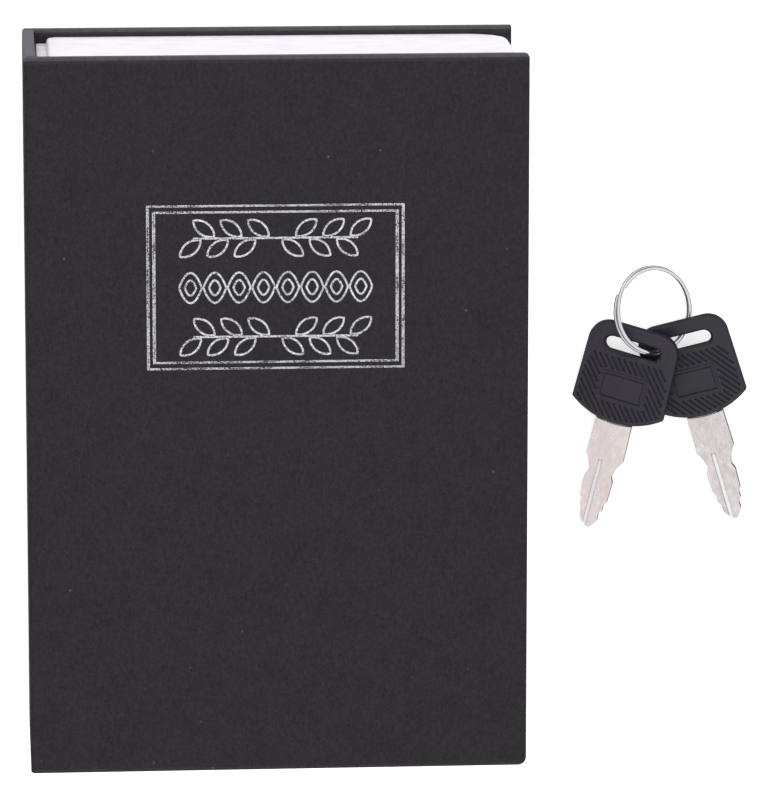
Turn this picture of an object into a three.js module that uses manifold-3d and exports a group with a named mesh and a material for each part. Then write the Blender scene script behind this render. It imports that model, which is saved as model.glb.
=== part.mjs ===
// Book diversion safe: a hardback book whose page block is a moulded shell round a lidded, locked steel
// box, with its two keys on a split ring beside it. Millimetres, +Z up. The book lies on its back cover:
// +X runs from the spine to the fore-edge, +Y from tail to head, and the origin is the middle of the back
// cover's underside.
import * as THREE from 'three';
import { mergeVertices } from 'three/addons/utils/BufferGeometryUtils.js';
import Module from 'manifold-3d';

const wasm = await Module();
wasm.setup();

// Book, outside
const bookWidth = 124;
const bookHeight = 180;
const bookThickness = 55;

// Covers and spine: board in cloth, with paper on the inner face
const clothThickness = 0.4;
const boardThickness = 2.4;
const paperThickness = 0.2;
const coverCornerRadius = 2;
const paperMargin = 4;
const jointGap = 0.2;
const hingeSlit = 0.1;

// Page shell
const headInset = 2;
const foreEdgeInset = 1.7;
const spineSideGap = 3.1;
const coverGap = 0.5;
const shellWall = 1.6;
const shellBackCornerRadius = 9;
const shellSpineCornerRadius = 1;
const fillerInset = 1.6;
const fillerClearance = 0.3;

// Steel box and lid
const steelThickness = 1;
const boxClearance = 0.3;
const rimDrop = 3.5;
const lidClearance = 0.3;
const lipDepth = 3;
const lipClearance = 0.35;
const lidEdgeInset = 0.2;
const lidEndInset = 0.5;
const lidCornerRadius = 1.5;

// How far two shapes of one piece run into each other where they are joined
const joinOverlap = 0.1;

// Hinge
const hingeEndInset = 25.1;
const hingeCutMargin = 1;
const knuckleCount = 5;
const knuckleRadius = 2;
const knuckleGap = 0.4;
const knuckleOverlap = 1;
const tabRoot = 1;
const pinRadius = 0.9;
const pinClearance = 0.12;
const pinOverhang = 1;
const leafThickness = 0.9;
const leafWidth = 9;
const lidLeafInset = 0.2;
const boxLeafDepth = 12;
const hingeInset = 1.1;
const pinRise = 0.6;
const knuckleDrop = 0.6;
const lidHingeGap = 0.7;

// Rivets
const rivetHeadRadius = 2.4;
const rivetHeadHeight = 1.1;
const rivetShankRadius = 1.2;
const rivetHoleClearance = 0.3;
const rivetEndGap = 0.2;
const boxRivetInset = 20;
const hingeRivetInset = 12;
const catchRivetSpacing = 12;

// Cam lock
const lockInset = 22.2;
const barrelRadius = 8;
const barrelFlat = 7;
const barrelLength = 20.6;
const bezelRadius = 10;
const bezelHeight = 1.5;
const plugRadius = 5.5;
const plugClearance = 0.2;
const plugRecess = 0.3;
const keywayWidth = 2.2;
const keywayLength = 8.2;
const keywayDepth = 19.4;
const tenonWidth = 6;
const tenonLength = 2.2;
const camThickness = 1.9;
const camWidth = 9.5;
const camReach = 14.5;
const camTailReach = 5.5;
const camCorner = 2;
const camPlay = 0.1;
const nutAcrossFlats = 21;
const nutThickness = 3;
const washerThickness = 0.6;
const stackGap = 0.05;
const lockFit = 0.3;
const waferCount = 5;
const waferPitch = 2.4;
const waferThickness = 0.9;
const waferWidth = 5.6;
const waferLength = 9;
const waferClearance = 0.3;
const waferBridge = 0.6;
const firstWaferDepth = 3;
const camScrewHeadRadius = 3.4;
const camScrewHeadHeight = 1.9;
const camScrewRadius = 1.4;
const camScrewLength = 5;
const camScrewHoleDepth = 3;
const screwSlotWidth = 0.8;
const screwSlotDepth = 0.9;

// Catch on the fore-edge wall
const catchLength = 18;
const catchLegReach = 8.9;
const catchThickness = 1;
const catchClearance = 0.7;
const catchHeight = 10;
const catchRivetRise = 5.5;

// Keys
const bowWidth = 24.3;
const bowThickness = 2.7;
const bowTaper = 0.35;
const bowTop = 5.45;
const bowBottom = -16.3;
const bowBulge = 4.2;
const bowCornerRadius = 5.2;
const keySlotLength = 14.5;
const keySlotWidth = 3.6;
const bladeThickness = 1.6;
const bladeRootWidth = 9.5;
const bladeWidth = 9.9;
const bladeShoulder = -30.2;
const bladeTip = -49.4;
const bladeTipWidth = 1.2;
const bladeGrooveWidth = 1.1;
const bladeGrooveDepth = 0.4;
const bladeGrooveOffset = 0.9;
const bladeGrooveStart = 0.8;
const tangWidth = 6.4;
const tangThickness = 0.9;
const tangLength = 6;
const tangClearance = 0.3;
const tangRoot = 2;
const bowRim = 0.8;
const slotCollar = 1.1;
const ridgePitch = 1.45;
const ridgeGroove = 0.6;
const ridgeDepth = 0.25;
const ridgeAngle = THREE.MathUtils.degToRad(52);
const panelWidth = 11.7;
const panelHeight = 7.4;
const panelCentre = -10.9;

// The cuts of both keys, down each edge of the blade: distance from the shoulder, and half width there
const bladeCuts = {
  left: [
    [0.7, 4.3], [2, 3.75], [4, 3.1], [5.7, 3.8], [7.2, 4], [11, 3.8], [12.2, 3.15], [13.9, 3.3], [14.8, 2.6],
    [16.8, 2.55], [17.9, 1.8], [18.7, 1.2],
  ],
  right: [
    [1.7, 3.9], [2.6, 3.4], [4.6, 2.95], [6.2, 3.6], [11.5, 3.45], [12.6, 2.75], [14, 2.85], [15.2, 2.05],
    [16.9, 2.15], [17.8, 1.65], [18.8, 0.9],
  ],
};

// Split ring: two turns of flat wire
const ringRadius = 10.9;
const ringWireWidth = 0.9;
const ringWireHeight = 0.75;
const ringTurnGap = 0.2;
const ringTurns = 1.97;
const ringPhase = THREE.MathUtils.degToRad(-40);
const ringCrossing = [0.88, 1.08];
const wireChamfer = 0.15;
const ringTilt = THREE.MathUtils.degToRad(26.52);
const ringHighSide = THREE.MathUtils.degToRad(194.47);
const keySetGap = 36.52;
const keySetY = 16.65;

// Where each key hangs on the ring, and how it lies
const keyPlaces = [
  {
    name: 'key_1',
    ringAngle: THREE.MathUtils.degToRad(60.71),
    slotPoint: [3.22, -0.17],
    pitch: THREE.MathUtils.degToRad(7.5),
    roll: THREE.MathUtils.degToRad(-15.48),
    turn: THREE.MathUtils.degToRad(-14.89),
  },
  {
    name: 'key_2',
    ringAngle: THREE.MathUtils.degToRad(106.39),
    slotPoint: [-3.05, -0.5],
    pitch: THREE.MathUtils.degToRad(3.94),
    roll: THREE.MathUtils.degToRad(-12.18),
    turn: THREE.MathUtils.degToRad(16.19),
  },
];

// Silver border stamped on the front cover: two thin rectangular lines, one inside the other
const foilThickness = 0.05;
const foilFromSpine = 29.6;
const foilFromForeEdge = 30.8;
const foilFromHead = 36.8;
const foilFromTail = 102.1;
const foilOuterLine = 0.6;
const foilInnerLine = 0.9;
const foilInnerInset = 1.7;

// Facets of round shapes
const facets = 32;
const smallFacets = 14;
const arcSteps = 5;
const ringSteps = 80;

// Finishes
const finish = (color, roughness, metalness = 0) => (
  new THREE.MeshStandardMaterial({ color, roughness, metalness })
);
const finishes = {
  cloth: finish('#353235', 0.85),
  board: finish('#8d8578', 0.9),
  paper: finish('#e9e6e0', 0.8),
  shell: finish('#fbf8fd', 0.45),
  steel: finish('#26262a', 0.5, 0.3),
  zinc: finish('#b9bcc0', 0.35, 0.9),
  chrome: finish('#d5d7da', 0.15, 1),
  brass: finish('#b79a5a', 0.35, 1),
  nickel: finish('#dad1ce', 0.3, 1),
  foil: finish('#c4c3c6', 0.4, 1),
  bow: finish('#343139', 0.6),
};

// Solids
function solidOf(geometry) {
  const bare = geometry.clone();
  bare.deleteAttribute('normal');
  bare.deleteAttribute('uv');
  const merged = mergeVertices(bare, 1e-4);
  return new wasm.Manifold(
    new wasm.Mesh({
      numProp: 3,
      vertProperties: new Float32Array(merged.attributes.position.array),
      triVerts: new Uint32Array(merged.index.array),
    }),
  );
}

function geometryOf(solid) {
  const mesh = solid.getMesh();
  const geometry = new THREE.BufferGeometry();
  geometry.setAttribute('position', new THREE.BufferAttribute(new Float32Array(mesh.vertProperties), 3));
  geometry.setIndex(new THREE.BufferAttribute(new Uint32Array(mesh.triVerts), 1));
  geometry.computeVertexNormals();
  return geometry;
}

function block(x0, x1, y0, y1, z0, z1) {
  const box = new THREE.BoxGeometry(x1 - x0, y1 - y0, z1 - z0);
  return solidOf(box.translate((x0 + x1) / 2, (y0 + y1) / 2, (z0 + z1) / 2));
}

// A round bar along Z from z0 to z1
function bar(radius, z0, z1, x = 0, y = 0) {
  const cylinder = new THREE.CylinderGeometry(radius, radius, z1 - z0, radius < 3 ? smallFacets : facets);
  return solidOf(cylinder.rotateX(Math.PI / 2).translate(x, y, (z0 + z1) / 2));
}

function extrude(shape, depth) {
  return new THREE.ExtrudeGeometry(shape, { depth, bevelEnabled: false, curveSegments: arcSteps });
}

// A shape in the XY plane, extruded from z0 to z1
function prism(shape, z0, z1) {
  return solidOf(extrude(shape, z1 - z0).translate(0, 0, z0));
}

// A shape drawn with X across and Z up, extruded along Y from y0 to y1
function prismAlongY(shape, y0, y1) {
  return solidOf(extrude(shape, y1 - y0).rotateX(Math.PI / 2).translate(0, y1, 0));
}

// A rectangle whose corners have the radii [x0 y0, x1 y0, x1 y1, x0 y1]
function roundedRectangle(x0, x1, y0, y1, radii) {
  const [r00, r10, r11, r01] = radii;
  const shape = new THREE.Shape();
  shape.moveTo(x0 + r00, y0);
  shape.lineTo(x1 - r10, y0);
  if (r10 > 0) shape.absarc(x1 - r10, y0 + r10, r10, -Math.PI / 2, 0);
  shape.lineTo(x1, y1 - r11);
  if (r11 > 0) shape.absarc(x1 - r11, y1 - r11, r11, 0, Math.PI / 2);
  shape.lineTo(x0 + r01, y1);
  if (r01 > 0) shape.absarc(x0 + r01, y1 - r01, r01, Math.PI / 2, Math.PI);
  shape.lineTo(x0, y0 + r00);
  if (r00 > 0) shape.absarc(x0 + r00, y0 + r00, r00, Math.PI, 1.5 * Math.PI);
  return shape;
}

function addPiece(group, name, solid, material) {
  const mesh = new THREE.Mesh(geometryOf(solid), material);
  mesh.name = name;
  group.add(mesh);
  return mesh;
}

// Sizes worked out from the driving dimensions
const halfHeight = bookHeight / 2;
const spineX = -bookWidth / 2;
const foreEdgeX = bookWidth / 2;
const coverThickness = clothThickness + boardThickness + paperThickness;
const spineInnerX = spineX + coverThickness;
const coverX0 = spineX + clothThickness + hingeSlit;
const shell = {
  x0: spineInnerX + spineSideGap,
  x1: foreEdgeX - foreEdgeInset,
  y: halfHeight - headInset,
  z0: coverThickness,
  z1: bookThickness - coverThickness - coverGap,
};
const box = {
  x0: shell.x0 + shellWall + boxClearance,
  x1: shell.x1 - shellWall - boxClearance,
  y: shell.y - shellWall - boxClearance,
  z0: shell.z0 + shellWall,
  z1: shell.z1 - rimDrop,
};
const boxInner = {
  x0: box.x0 + steelThickness,
  x1: box.x1 - steelThickness,
  y: box.y - steelThickness,
  z0: box.z0 + steelThickness,
};
const hingeLength = 2 * (boxInner.y - hingeEndInset);
const hinge = {
  x: boxInner.x0 + hingeInset,
  z: box.z1 + lidClearance + pinRise,
};
const lid = {
  x0: hinge.x + knuckleRadius + lidHingeGap,
  x1: box.x1 - lidEdgeInset,
  y: box.y - lidEndInset,
  z0: box.z1 + lidClearance,
  z1: box.z1 + lidClearance + steelThickness,
};
const lockX = box.x1 - lockInset;
const bezelTopZ = lid.z1 + bezelHeight;
const barrelBottomZ = bezelTopZ - barrelLength;
const tenonTopZ = barrelBottomZ - plugClearance;
const camTopZ = tenonTopZ - camPlay;
const camBottomZ = camTopZ - camThickness;

const book = new THREE.Group();

// Book covers: a board wrapped in cloth on its outer face and edges, with paper on the inner face
function makeCover(group, prefix, outerZ, inward) {
  const layer = (near, far) => [outerZ + inward * near, outerZ + inward * far].sort((a, b) => a - b);
  const outline = (inset) => roundedRectangle(
    coverX0 + inset, foreEdgeX - inset, -halfHeight + inset, halfHeight - inset,
    [0, coverCornerRadius - inset, coverCornerRadius - inset, 0].map((r) => Math.max(r, 0)),
  );
  const boardTop = clothThickness + boardThickness;
  const hollow = prism(outline(clothThickness), ...layer(clothThickness, boardTop));
  const cloth = prism(outline(0), ...layer(0, boardTop)).subtract(hollow);
  const paper = prism(
    roundedRectangle(
      coverX0 + paperMargin, foreEdgeX - paperMargin, -halfHeight + paperMargin, halfHeight - paperMargin,
      [0, 0, 0, 0],
    ),
    ...layer(boardTop, coverThickness),
  );
  return { prefix, group, board: hollow, cloth, paper };
}

function addCoverPieces({ prefix, group, board, cloth, paper }) {
  addPiece(group, `${prefix}_board`, board, finishes.board);
  addPiece(group, `${prefix}_cloth`, cloth, finishes.cloth);
  addPiece(group, `${prefix}_endpaper`, paper, finishes.paper);
}

const rivetX0 = boxInner.x0 + boxRivetInset;
const rivetX1 = boxInner.x1 - boxRivetInset;
const rivetY = boxInner.y - boxRivetInset;
const rivetPlaces = [[rivetX0, -rivetY], [rivetX1, -rivetY], [rivetX1, rivetY], [rivetX0, rivetY]];
const rivetHole = ([x, y]) => bar(rivetShankRadius + rivetHoleClearance, -1, boxInner.z0 + 1, x, y);
const drillForRivets = (solid) => rivetPlaces.reduce((rest, place) => rest.subtract(rivetHole(place)), solid);

const backCover = makeCover(book, 'back', 0, 1);
backCover.board = drillForRivets(backCover.board);
backCover.paper = drillForRivets(backCover.paper);
addCoverPieces(backCover);

const frontGroup = new THREE.Group();
book.add(frontGroup);
addCoverPieces(makeCover(frontGroup, 'front', bookThickness, -1));
function foilFrame(inset, line) {
  const rectangle = (margin, overshoot) => block(
    spineX + foilFromSpine + margin, foreEdgeX - foilFromForeEdge - margin,
    -halfHeight + foilFromTail + margin, halfHeight - foilFromHead - margin,
    bookThickness - overshoot, bookThickness + foilThickness + overshoot,
  );
  return rectangle(inset, 0).subtract(rectangle(inset + line, 1));
}
addPiece(frontGroup, 'foil_frame_outer', foilFrame(0, foilOuterLine), finishes.foil);
addPiece(frontGroup, 'foil_frame_inner', foilFrame(foilInnerInset, foilInnerLine), finishes.foil);

// Spine: its board fits between the covers, its cloth reaches over their edges and is the hinge of both
const spineGroup = new THREE.Group();
book.add(spineGroup);
const spineZ0 = coverThickness + jointGap;
const spineZ1 = bookThickness - coverThickness - jointGap;
const spineLayer = (near, far, inset) => block(
  spineX + near, spineX + far, -halfHeight + inset, halfHeight - inset, spineZ0 + inset, spineZ1 - inset,
);
const spineBoard = spineLayer(clothThickness, clothThickness + boardThickness, clothThickness);
addPiece(spineGroup, 'spine_board', spineBoard, finishes.board);
const spineSheet = block(spineX, spineX + clothThickness, -halfHeight, halfHeight, 0, bookThickness);
const spineWrap = spineLayer(0, clothThickness + boardThickness, 0);
addPiece(spineGroup, 'spine_cloth', spineSheet.add(spineWrap).subtract(spineBoard), finishes.cloth);
const spineLining = spineLayer(clothThickness + boardThickness, coverThickness, paperMargin);
addPiece(spineGroup, 'spine_lining', spineLining, finishes.paper);

// Page shell, a moulded tray open towards the front cover, its fore-edge rounded over at the back cover
const shellOutline = (inset) => roundedRectangle(
  shell.x0 + inset, shell.x1 - inset, shell.z0 + inset, shell.z1 + (inset > 0 ? 1 : 0),
  [shellSpineCornerRadius, shellBackCornerRadius, 0, 0].map((r) => Math.max(r - inset, 0)),
);
const shellBody = prismAlongY(shellOutline(0), -shell.y, shell.y).subtract(
  prismAlongY(shellOutline(shellWall), -shell.y + shellWall, shell.y - shellWall),
);
addPiece(book, 'page_shell', drillForRivets(shellBody), finishes.shell);
const fillerY = shell.y - fillerInset;
const filler = block(spineInnerX + fillerClearance, shell.x0, -fillerY, fillerY, shell.z0, shell.z1);
addPiece(book, 'spine_filler', filler, finishes.shell);

// Steel box, bent to the same round corner as the shell, lower along the hinge
const boxCornerRadius = shellBackCornerRadius - shellWall;
const boxOutline = (inset) => roundedRectangle(
  box.x0 + inset, box.x1 - inset, box.z0 + inset, box.z1 + (inset > 0 ? 1 : 0),
  [0, boxCornerRadius - inset, 0, 0],
);
const hingeCutLength = hingeLength / 2 + hingeCutMargin;
const hingeCut = block(
  box.x0 - 1, hinge.x, -hingeCutLength, hingeCutLength, hinge.z - knuckleRadius - knuckleDrop, box.z1 + 1,
);
const catchRivets = [-1, 1].map((side) => side * catchRivetSpacing / 2);
const catchZ0 = camTopZ + catchClearance;
const catchRivetZ = catchZ0 + catchRivetRise;
const acrossX = (solid, x, y, z) => solid.rotate([0, 90, 0]).translate([x, y, z]);
const rivetHoleRadius = rivetShankRadius + rivetHoleClearance;
const rivetHoleAcross = (x0, x1, y, z) => acrossX(bar(rivetHoleRadius, 0, x1 - x0), x0, y, z);
const leafRivets = [-1, 0, 1].map((place) => place * (hingeLength / 2 - hingeRivetInset));
const boxLeafRivetZ = hinge.z - knuckleRadius - knuckleDrop - boxLeafDepth / 2;
let boxBody = prismAlongY(boxOutline(0), -box.y, box.y)
  .subtract(prismAlongY(boxOutline(steelThickness), -boxInner.y, boxInner.y))
  .subtract(hingeCut);
for (const y of catchRivets) {
  boxBody = boxBody.subtract(rivetHoleAcross(boxInner.x1 - 1, box.x1 + 1, y, catchRivetZ));
}
for (const y of leafRivets) {
  boxBody = boxBody.subtract(rivetHoleAcross(box.x0 - 1, boxInner.x0 + 0.5, y, boxLeafRivetZ));
}
addPiece(book, 'steel_box', drillForRivets(boxBody), finishes.steel);

// Rivets: a domed head on a shank, head up, with the underside of the head at the origin
function rivet(shankLength) {
  const rise = rivetHeadHeight;
  const radius = rivetHeadRadius;
  const profile = [
    [0, -shankLength], [rivetShankRadius, -shankLength], [rivetShankRadius, 0], [radius, 0],
    [radius, rise * 0.4], [radius * 0.7, rise * 0.85], [0, rise],
  ];
  const lathe = new THREE.LatheGeometry(profile.map(([r, z]) => new THREE.Vector2(r, z)), smallFacets);
  return solidOf(lathe.rotateX(Math.PI / 2));
}
rivetPlaces.forEach(([x, y], i) => {
  const shank = boxInner.z0 - clothThickness - rivetEndGap;
  addPiece(book, `box_rivet_${i + 1}`, rivet(shank).translate([x, y, boxInner.z0]), finishes.zinc);
});

// Hinge: two leaves with alternating knuckles on one pin
const knucklePitch = hingeLength / knuckleCount;
const knuckles = Array.from({ length: knuckleCount }, (_, i) => ({
  y0: -hingeLength / 2 + i * knucklePitch + knuckleGap / 2,
  y1: -hingeLength / 2 + (i + 1) * knucklePitch - knuckleGap / 2,
  onBox: i % 2 === 0,
}));
const barAlongY = (radius, y0, y1) => bar(radius, y0, y1).rotate([-90, 0, 0]);
function leaf(plate, owner, tab) {
  let solid = plate;
  for (const { y0, y1, onBox } of knuckles) {
    if (onBox === owner) solid = solid.add(barAlongY(knuckleRadius, y0, y1)).add(tab(y0, y1));
  }
  return solid.subtract(barAlongY(pinRadius + pinClearance, -hingeLength, hingeLength));
}
const hingeGroup = new THREE.Group();
hingeGroup.position.set(hinge.x, 0, hinge.z);
book.add(hingeGroup);
const wallX = boxInner.x0 - hinge.x;
const leafTopZ = -knuckleRadius - knuckleDrop;
const leafX = wallX + leafThickness;
const leafRivetZ = boxLeafRivetZ - hinge.z;
let boxLeaf = leaf(
  block(wallX, leafX, -hingeLength / 2, hingeLength / 2, leafTopZ - boxLeafDepth, leafTopZ),
  true,
  (y0, y1) => block(wallX, leafX, y0, y1, leafTopZ - tabRoot, -knuckleRadius + knuckleOverlap),
);
for (const y of leafRivets) {
  boxLeaf = boxLeaf.subtract(rivetHoleAcross(wallX - 1, leafX + 1, y, leafRivetZ));
}
addPiece(hingeGroup, 'box_hinge_leaf', boxLeaf, finishes.steel);
const pinHalf = hingeLength / 2 + pinOverhang;
addPiece(hingeGroup, 'hinge_pin', barAlongY(pinRadius, -pinHalf, pinHalf), finishes.zinc);
leafRivets.forEach((y, i) => {
  const shank = leafThickness + steelThickness;
  const head = acrossX(rivet(shank), leafX, y, leafRivetZ);
  addPiece(hingeGroup, `box_leaf_rivet_${i + 1}`, head, finishes.zinc);
});

// Lid: a steel plate with three bent-down lips, drawn from the hinge line
const lidGroup = new THREE.Group();
lidGroup.position.set(hinge.x, 0, hinge.z);
book.add(lidGroup);
const plateX0 = lid.x0 - hinge.x;
const plateX1 = lid.x1 - hinge.x;
const plateZ0 = lid.z0 - hinge.z;
const plateZ1 = lid.z1 - hinge.z;
const lipX1 = boxInner.x1 - hinge.x - lipClearance;
const lipY = boxInner.y - lipClearance;
const lockGroupX = lockX - hinge.x;
const lipRing = block(plateX0, lipX1, -lipY, lipY, plateZ0 - lipDepth, plateZ0 + joinOverlap).subtract(
  block(
    plateX0 - 1, lipX1 - steelThickness, -lipY + steelThickness, lipY - steelThickness,
    plateZ0 - lipDepth - 1, plateZ0 + 1,
  ),
);
const lidCorners = [0, lidCornerRadius, lidCornerRadius, 0];
const lidOutline = roundedRectangle(plateX0, plateX1, -lid.y, lid.y, lidCorners);
const lidPlate = prism(lidOutline, plateZ0, plateZ1);
const flatted = (radius, flat, z0, z1) => bar(radius, z0, z1).intersect(
  block(-radius - 1, radius + 1, -flat, flat, z0 - 1, z1 + 1),
);
const lidLeafX0 = plateX0 + lidLeafInset;
const lidLeafZ1 = plateZ0;
const lidLeafZ0 = lidLeafZ1 - leafThickness;
const lidRivetX = lidLeafX0 + leafWidth / 2;
const barrelHole = flatted(barrelRadius + lockFit, barrelFlat + lockFit, plateZ0 - 1, plateZ1 + 1);
let lidBody = lidPlate.add(lipRing).subtract(barrelHole.translate([lockGroupX, 0, 0]));
let lidLeaf = leaf(
  block(lidLeafX0, lidLeafX0 + leafWidth, -hingeLength / 2, hingeLength / 2, lidLeafZ0, lidLeafZ1),
  false,
  (y0, y1) => block(knuckleRadius - knuckleOverlap, lidLeafX0 + tabRoot, y0, y1, lidLeafZ0, lidLeafZ1),
);
const lidRivetGroup = new THREE.Group();
lidGroup.add(lidRivetGroup);
leafRivets.forEach((y, i) => {
  const hole = bar(rivetHoleRadius, lidLeafZ0 - 1, plateZ1 + 1, lidRivetX, y);
  lidBody = lidBody.subtract(hole);
  lidLeaf = lidLeaf.subtract(hole);
  const lidRivet = rivet(leafThickness + steelThickness).translate([lidRivetX, y, plateZ1]);
  addPiece(lidRivetGroup, `lid_leaf_rivet_${i + 1}`, lidRivet, finishes.zinc);
});
addPiece(lidGroup, 'lid_plate', lidBody, finishes.steel);
addPiece(lidGroup, 'lid_hinge_leaf', lidLeaf, finishes.steel);

// Cam lock, drawn round its own axis from the lid's outer face down
const lockGroup = new THREE.Group();
lockGroup.position.set(lockGroupX, 0, plateZ1);
lidGroup.add(lockGroup);
const lockZ = (z) => z - lid.z1;
const barrelZ0 = lockZ(barrelBottomZ);
const bezel = solidOf(new THREE.LatheGeometry(
  [
    [0, 0], [bezelRadius, 0], [bezelRadius, bezelHeight * 0.5], [bezelRadius - 0.5, bezelHeight * 0.9],
    [bezelRadius - 1, bezelHeight], [0, bezelHeight],
  ].map(([r, z]) => new THREE.Vector2(r, z)),
  facets,
).rotateX(Math.PI / 2));
addPiece(
  lockGroup, 'lock_barrel',
  flatted(barrelRadius, barrelFlat, barrelZ0, joinOverlap).add(bezel).subtract(
    bar(plugRadius + plugClearance, barrelZ0 - 1, bezelHeight + 1),
  ),
  finishes.chrome,
);
const washerZ1 = -steelThickness;
const washerZ0 = washerZ1 - washerThickness;
const nutZ1 = washerZ0 - stackGap;
const nutRadius = nutAcrossFlats / Math.sqrt(3);
const lockHole = bar(barrelRadius + lockFit, nutZ1 - nutThickness - 1, washerZ1 + 1);
const nutPrism = new THREE.CylinderGeometry(nutRadius, nutRadius, nutThickness, 6).rotateX(Math.PI / 2);
addPiece(
  lockGroup, 'lock_washer', bar(nutAcrossFlats / 2, washerZ0, washerZ1).subtract(lockHole), finishes.zinc,
);
addPiece(
  lockGroup, 'lock_nut', solidOf(nutPrism.translate(0, 0, nutZ1 - nutThickness / 2)).subtract(lockHole),
  finishes.zinc,
);

// Plug with keyway, wafers and a square tenon for the cam
const plugGroup = new THREE.Group();
lockGroup.add(plugGroup);
const plugTop = bezelHeight - plugRecess;
const plugZ0 = lockZ(tenonTopZ);
const keyway = block(
  -keywayWidth / 2, keywayWidth / 2, -keywayLength / 2, keywayLength / 2, plugTop - keywayDepth, plugTop + 1,
);
const half = tenonWidth / 2;
const tenon = block(-half, half, -half, half, plugZ0 - tenonLength, plugZ0 + 1);
let plugBody = bar(plugRadius, plugZ0, plugTop).add(tenon);
const wafers = Array.from({ length: waferCount }, (_, i) => plugTop - firstWaferDepth - i * waferPitch);
for (const z of wafers) {
  plugBody = plugBody.subtract(block(
    -waferWidth / 2 - waferClearance, waferWidth / 2 + waferClearance,
    -plugRadius - 1, plugRadius + 1, z - waferThickness - waferClearance, z + waferClearance,
  ));
}
plugBody = plugBody.subtract(keyway).subtract(
  bar(camScrewRadius + lockFit, plugZ0 - tenonLength - 1, plugZ0 + camScrewHoleDepth),
);
addPiece(plugGroup, 'lock_plug', plugBody, finishes.chrome);
wafers.forEach((z, i) => {
  const wafer = block(
    -waferWidth / 2, waferWidth / 2, -waferLength / 2, waferLength / 2, z - waferThickness, z,
  );
  const waferWindow = block(
    -keywayWidth / 2, keywayWidth / 2, -keywayLength / 2 + waferBridge, keywayLength / 2 - waferBridge,
    z - waferThickness - 1, z + 1,
  );
  addPiece(plugGroup, `wafer_${i + 1}`, wafer.subtract(waferWindow), finishes.brass);
});

// Cam, pointing to the head while unlocked, with its screw and washer
const camShape = new THREE.Shape();
camShape.moveTo(camWidth / 2, -camTailReach + camCorner);
camShape.lineTo(camWidth / 2, camReach - camCorner);
camShape.lineTo(camWidth / 2 - camCorner, camReach);
camShape.lineTo(-camWidth / 2 + camCorner, camReach);
camShape.lineTo(-camWidth / 2, camReach - camCorner);
camShape.lineTo(-camWidth / 2, -camTailReach + camCorner);
camShape.lineTo(-camWidth / 2 + camCorner, -camTailReach);
camShape.lineTo(camWidth / 2 - camCorner, -camTailReach);
const camHole = half + lockFit / 2;
addPiece(
  plugGroup, 'lock_cam',
  prism(camShape, lockZ(camBottomZ), lockZ(camTopZ)).subtract(
    block(-camHole, camHole, -camHole, camHole, lockZ(camBottomZ) - 1, lockZ(camTopZ) + 1),
  ),
  finishes.zinc,
);
const camWasherZ1 = Math.min(lockZ(camBottomZ), plugZ0 - tenonLength) - stackGap;
addPiece(
  plugGroup, 'cam_washer',
  bar(camScrewHeadRadius + 1, camWasherZ1 - washerThickness, camWasherZ1).subtract(
    bar(camScrewRadius + lockFit, camWasherZ1 - 2, camWasherZ1 + 1),
  ),
  finishes.zinc,
);
const screwHeadZ1 = camWasherZ1 - washerThickness - stackGap;
const screwSlot = block(
  -camScrewHeadRadius, camScrewHeadRadius, -screwSlotWidth / 2, screwSlotWidth / 2,
  -camScrewHeadHeight - 1, -camScrewHeadHeight + screwSlotDepth,
);
addPiece(
  plugGroup, 'cam_screw',
  bar(camScrewHeadRadius, -camScrewHeadHeight, 0).subtract(screwSlot)
    .add(bar(camScrewRadius, -joinOverlap, camScrewLength)).translate([0, 0, screwHeadZ1]),
  finishes.zinc,
);

// Catch: an angle riveted to the fore-edge wall, its leg over the locked cam
const catchX = boxInner.x1 - catchThickness;
const catchPart = (x0, height) => block(
  x0, boxInner.x1, -catchLength / 2, catchLength / 2, catchZ0, catchZ0 + height,
);
let catchBody = catchPart(catchX, catchHeight).add(catchPart(boxInner.x1 - catchLegReach, catchThickness));
for (const y of catchRivets) {
  catchBody = catchBody.subtract(rivetHoleAcross(catchX - 1, boxInner.x1 + 1, y, catchRivetZ));
}
addPiece(book, 'lock_catch', catchBody, finishes.zinc);
catchRivets.forEach((y, i) => {
  const head = rivet(catchThickness + steelThickness).rotate([0, -90, 0]);
  addPiece(book, `catch_rivet_${i + 1}`, head.translate([catchX, y, catchRivetZ]), finishes.zinc);
});

// Split ring: its turns lie one above the other and swap levels where the wire crosses
class RingCurve extends THREE.Curve {
  getPoint(t, target = new THREE.Vector3()) {
    const turns = t * ringTurns;
    const rise = THREE.MathUtils.smoothstep(turns, ...ringCrossing);
    const level = (rise - 0.5) * (ringWireHeight + ringTurnGap);
    const angle = ringPhase + turns * 2 * Math.PI;
    return target.set(ringRadius * Math.cos(angle), ringRadius * Math.sin(angle), level);
  }
}
const wireHalfWidth = ringWireWidth / 2;
const wireHalfHeight = ringWireHeight / 2;
const wireSection = new THREE.Shape([
  [-wireHalfWidth + wireChamfer, -wireHalfHeight], [wireHalfWidth - wireChamfer, -wireHalfHeight],
  [wireHalfWidth, -wireHalfHeight + wireChamfer], [wireHalfWidth, wireHalfHeight - wireChamfer],
  [wireHalfWidth - wireChamfer, wireHalfHeight], [-wireHalfWidth + wireChamfer, wireHalfHeight],
  [-wireHalfWidth, wireHalfHeight - wireChamfer], [-wireHalfWidth, -wireHalfHeight + wireChamfer],
].map(([x, y]) => new THREE.Vector2(x, y)));
const keySet = new THREE.Group();
const ringStack = ringWireHeight + ringTurnGap / 2;
const ringCentre = new THREE.Vector3(
  foreEdgeX + keySetGap, keySetY,
  (ringRadius + wireHalfWidth) * Math.sin(ringTilt) + ringStack * Math.cos(ringTilt),
);
book.add(keySet);
const ringGroup = new THREE.Group();
ringGroup.position.copy(ringCentre);
ringGroup.rotation.set(0, -ringTilt, ringHighSide, 'ZYX');
keySet.add(ringGroup);
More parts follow.
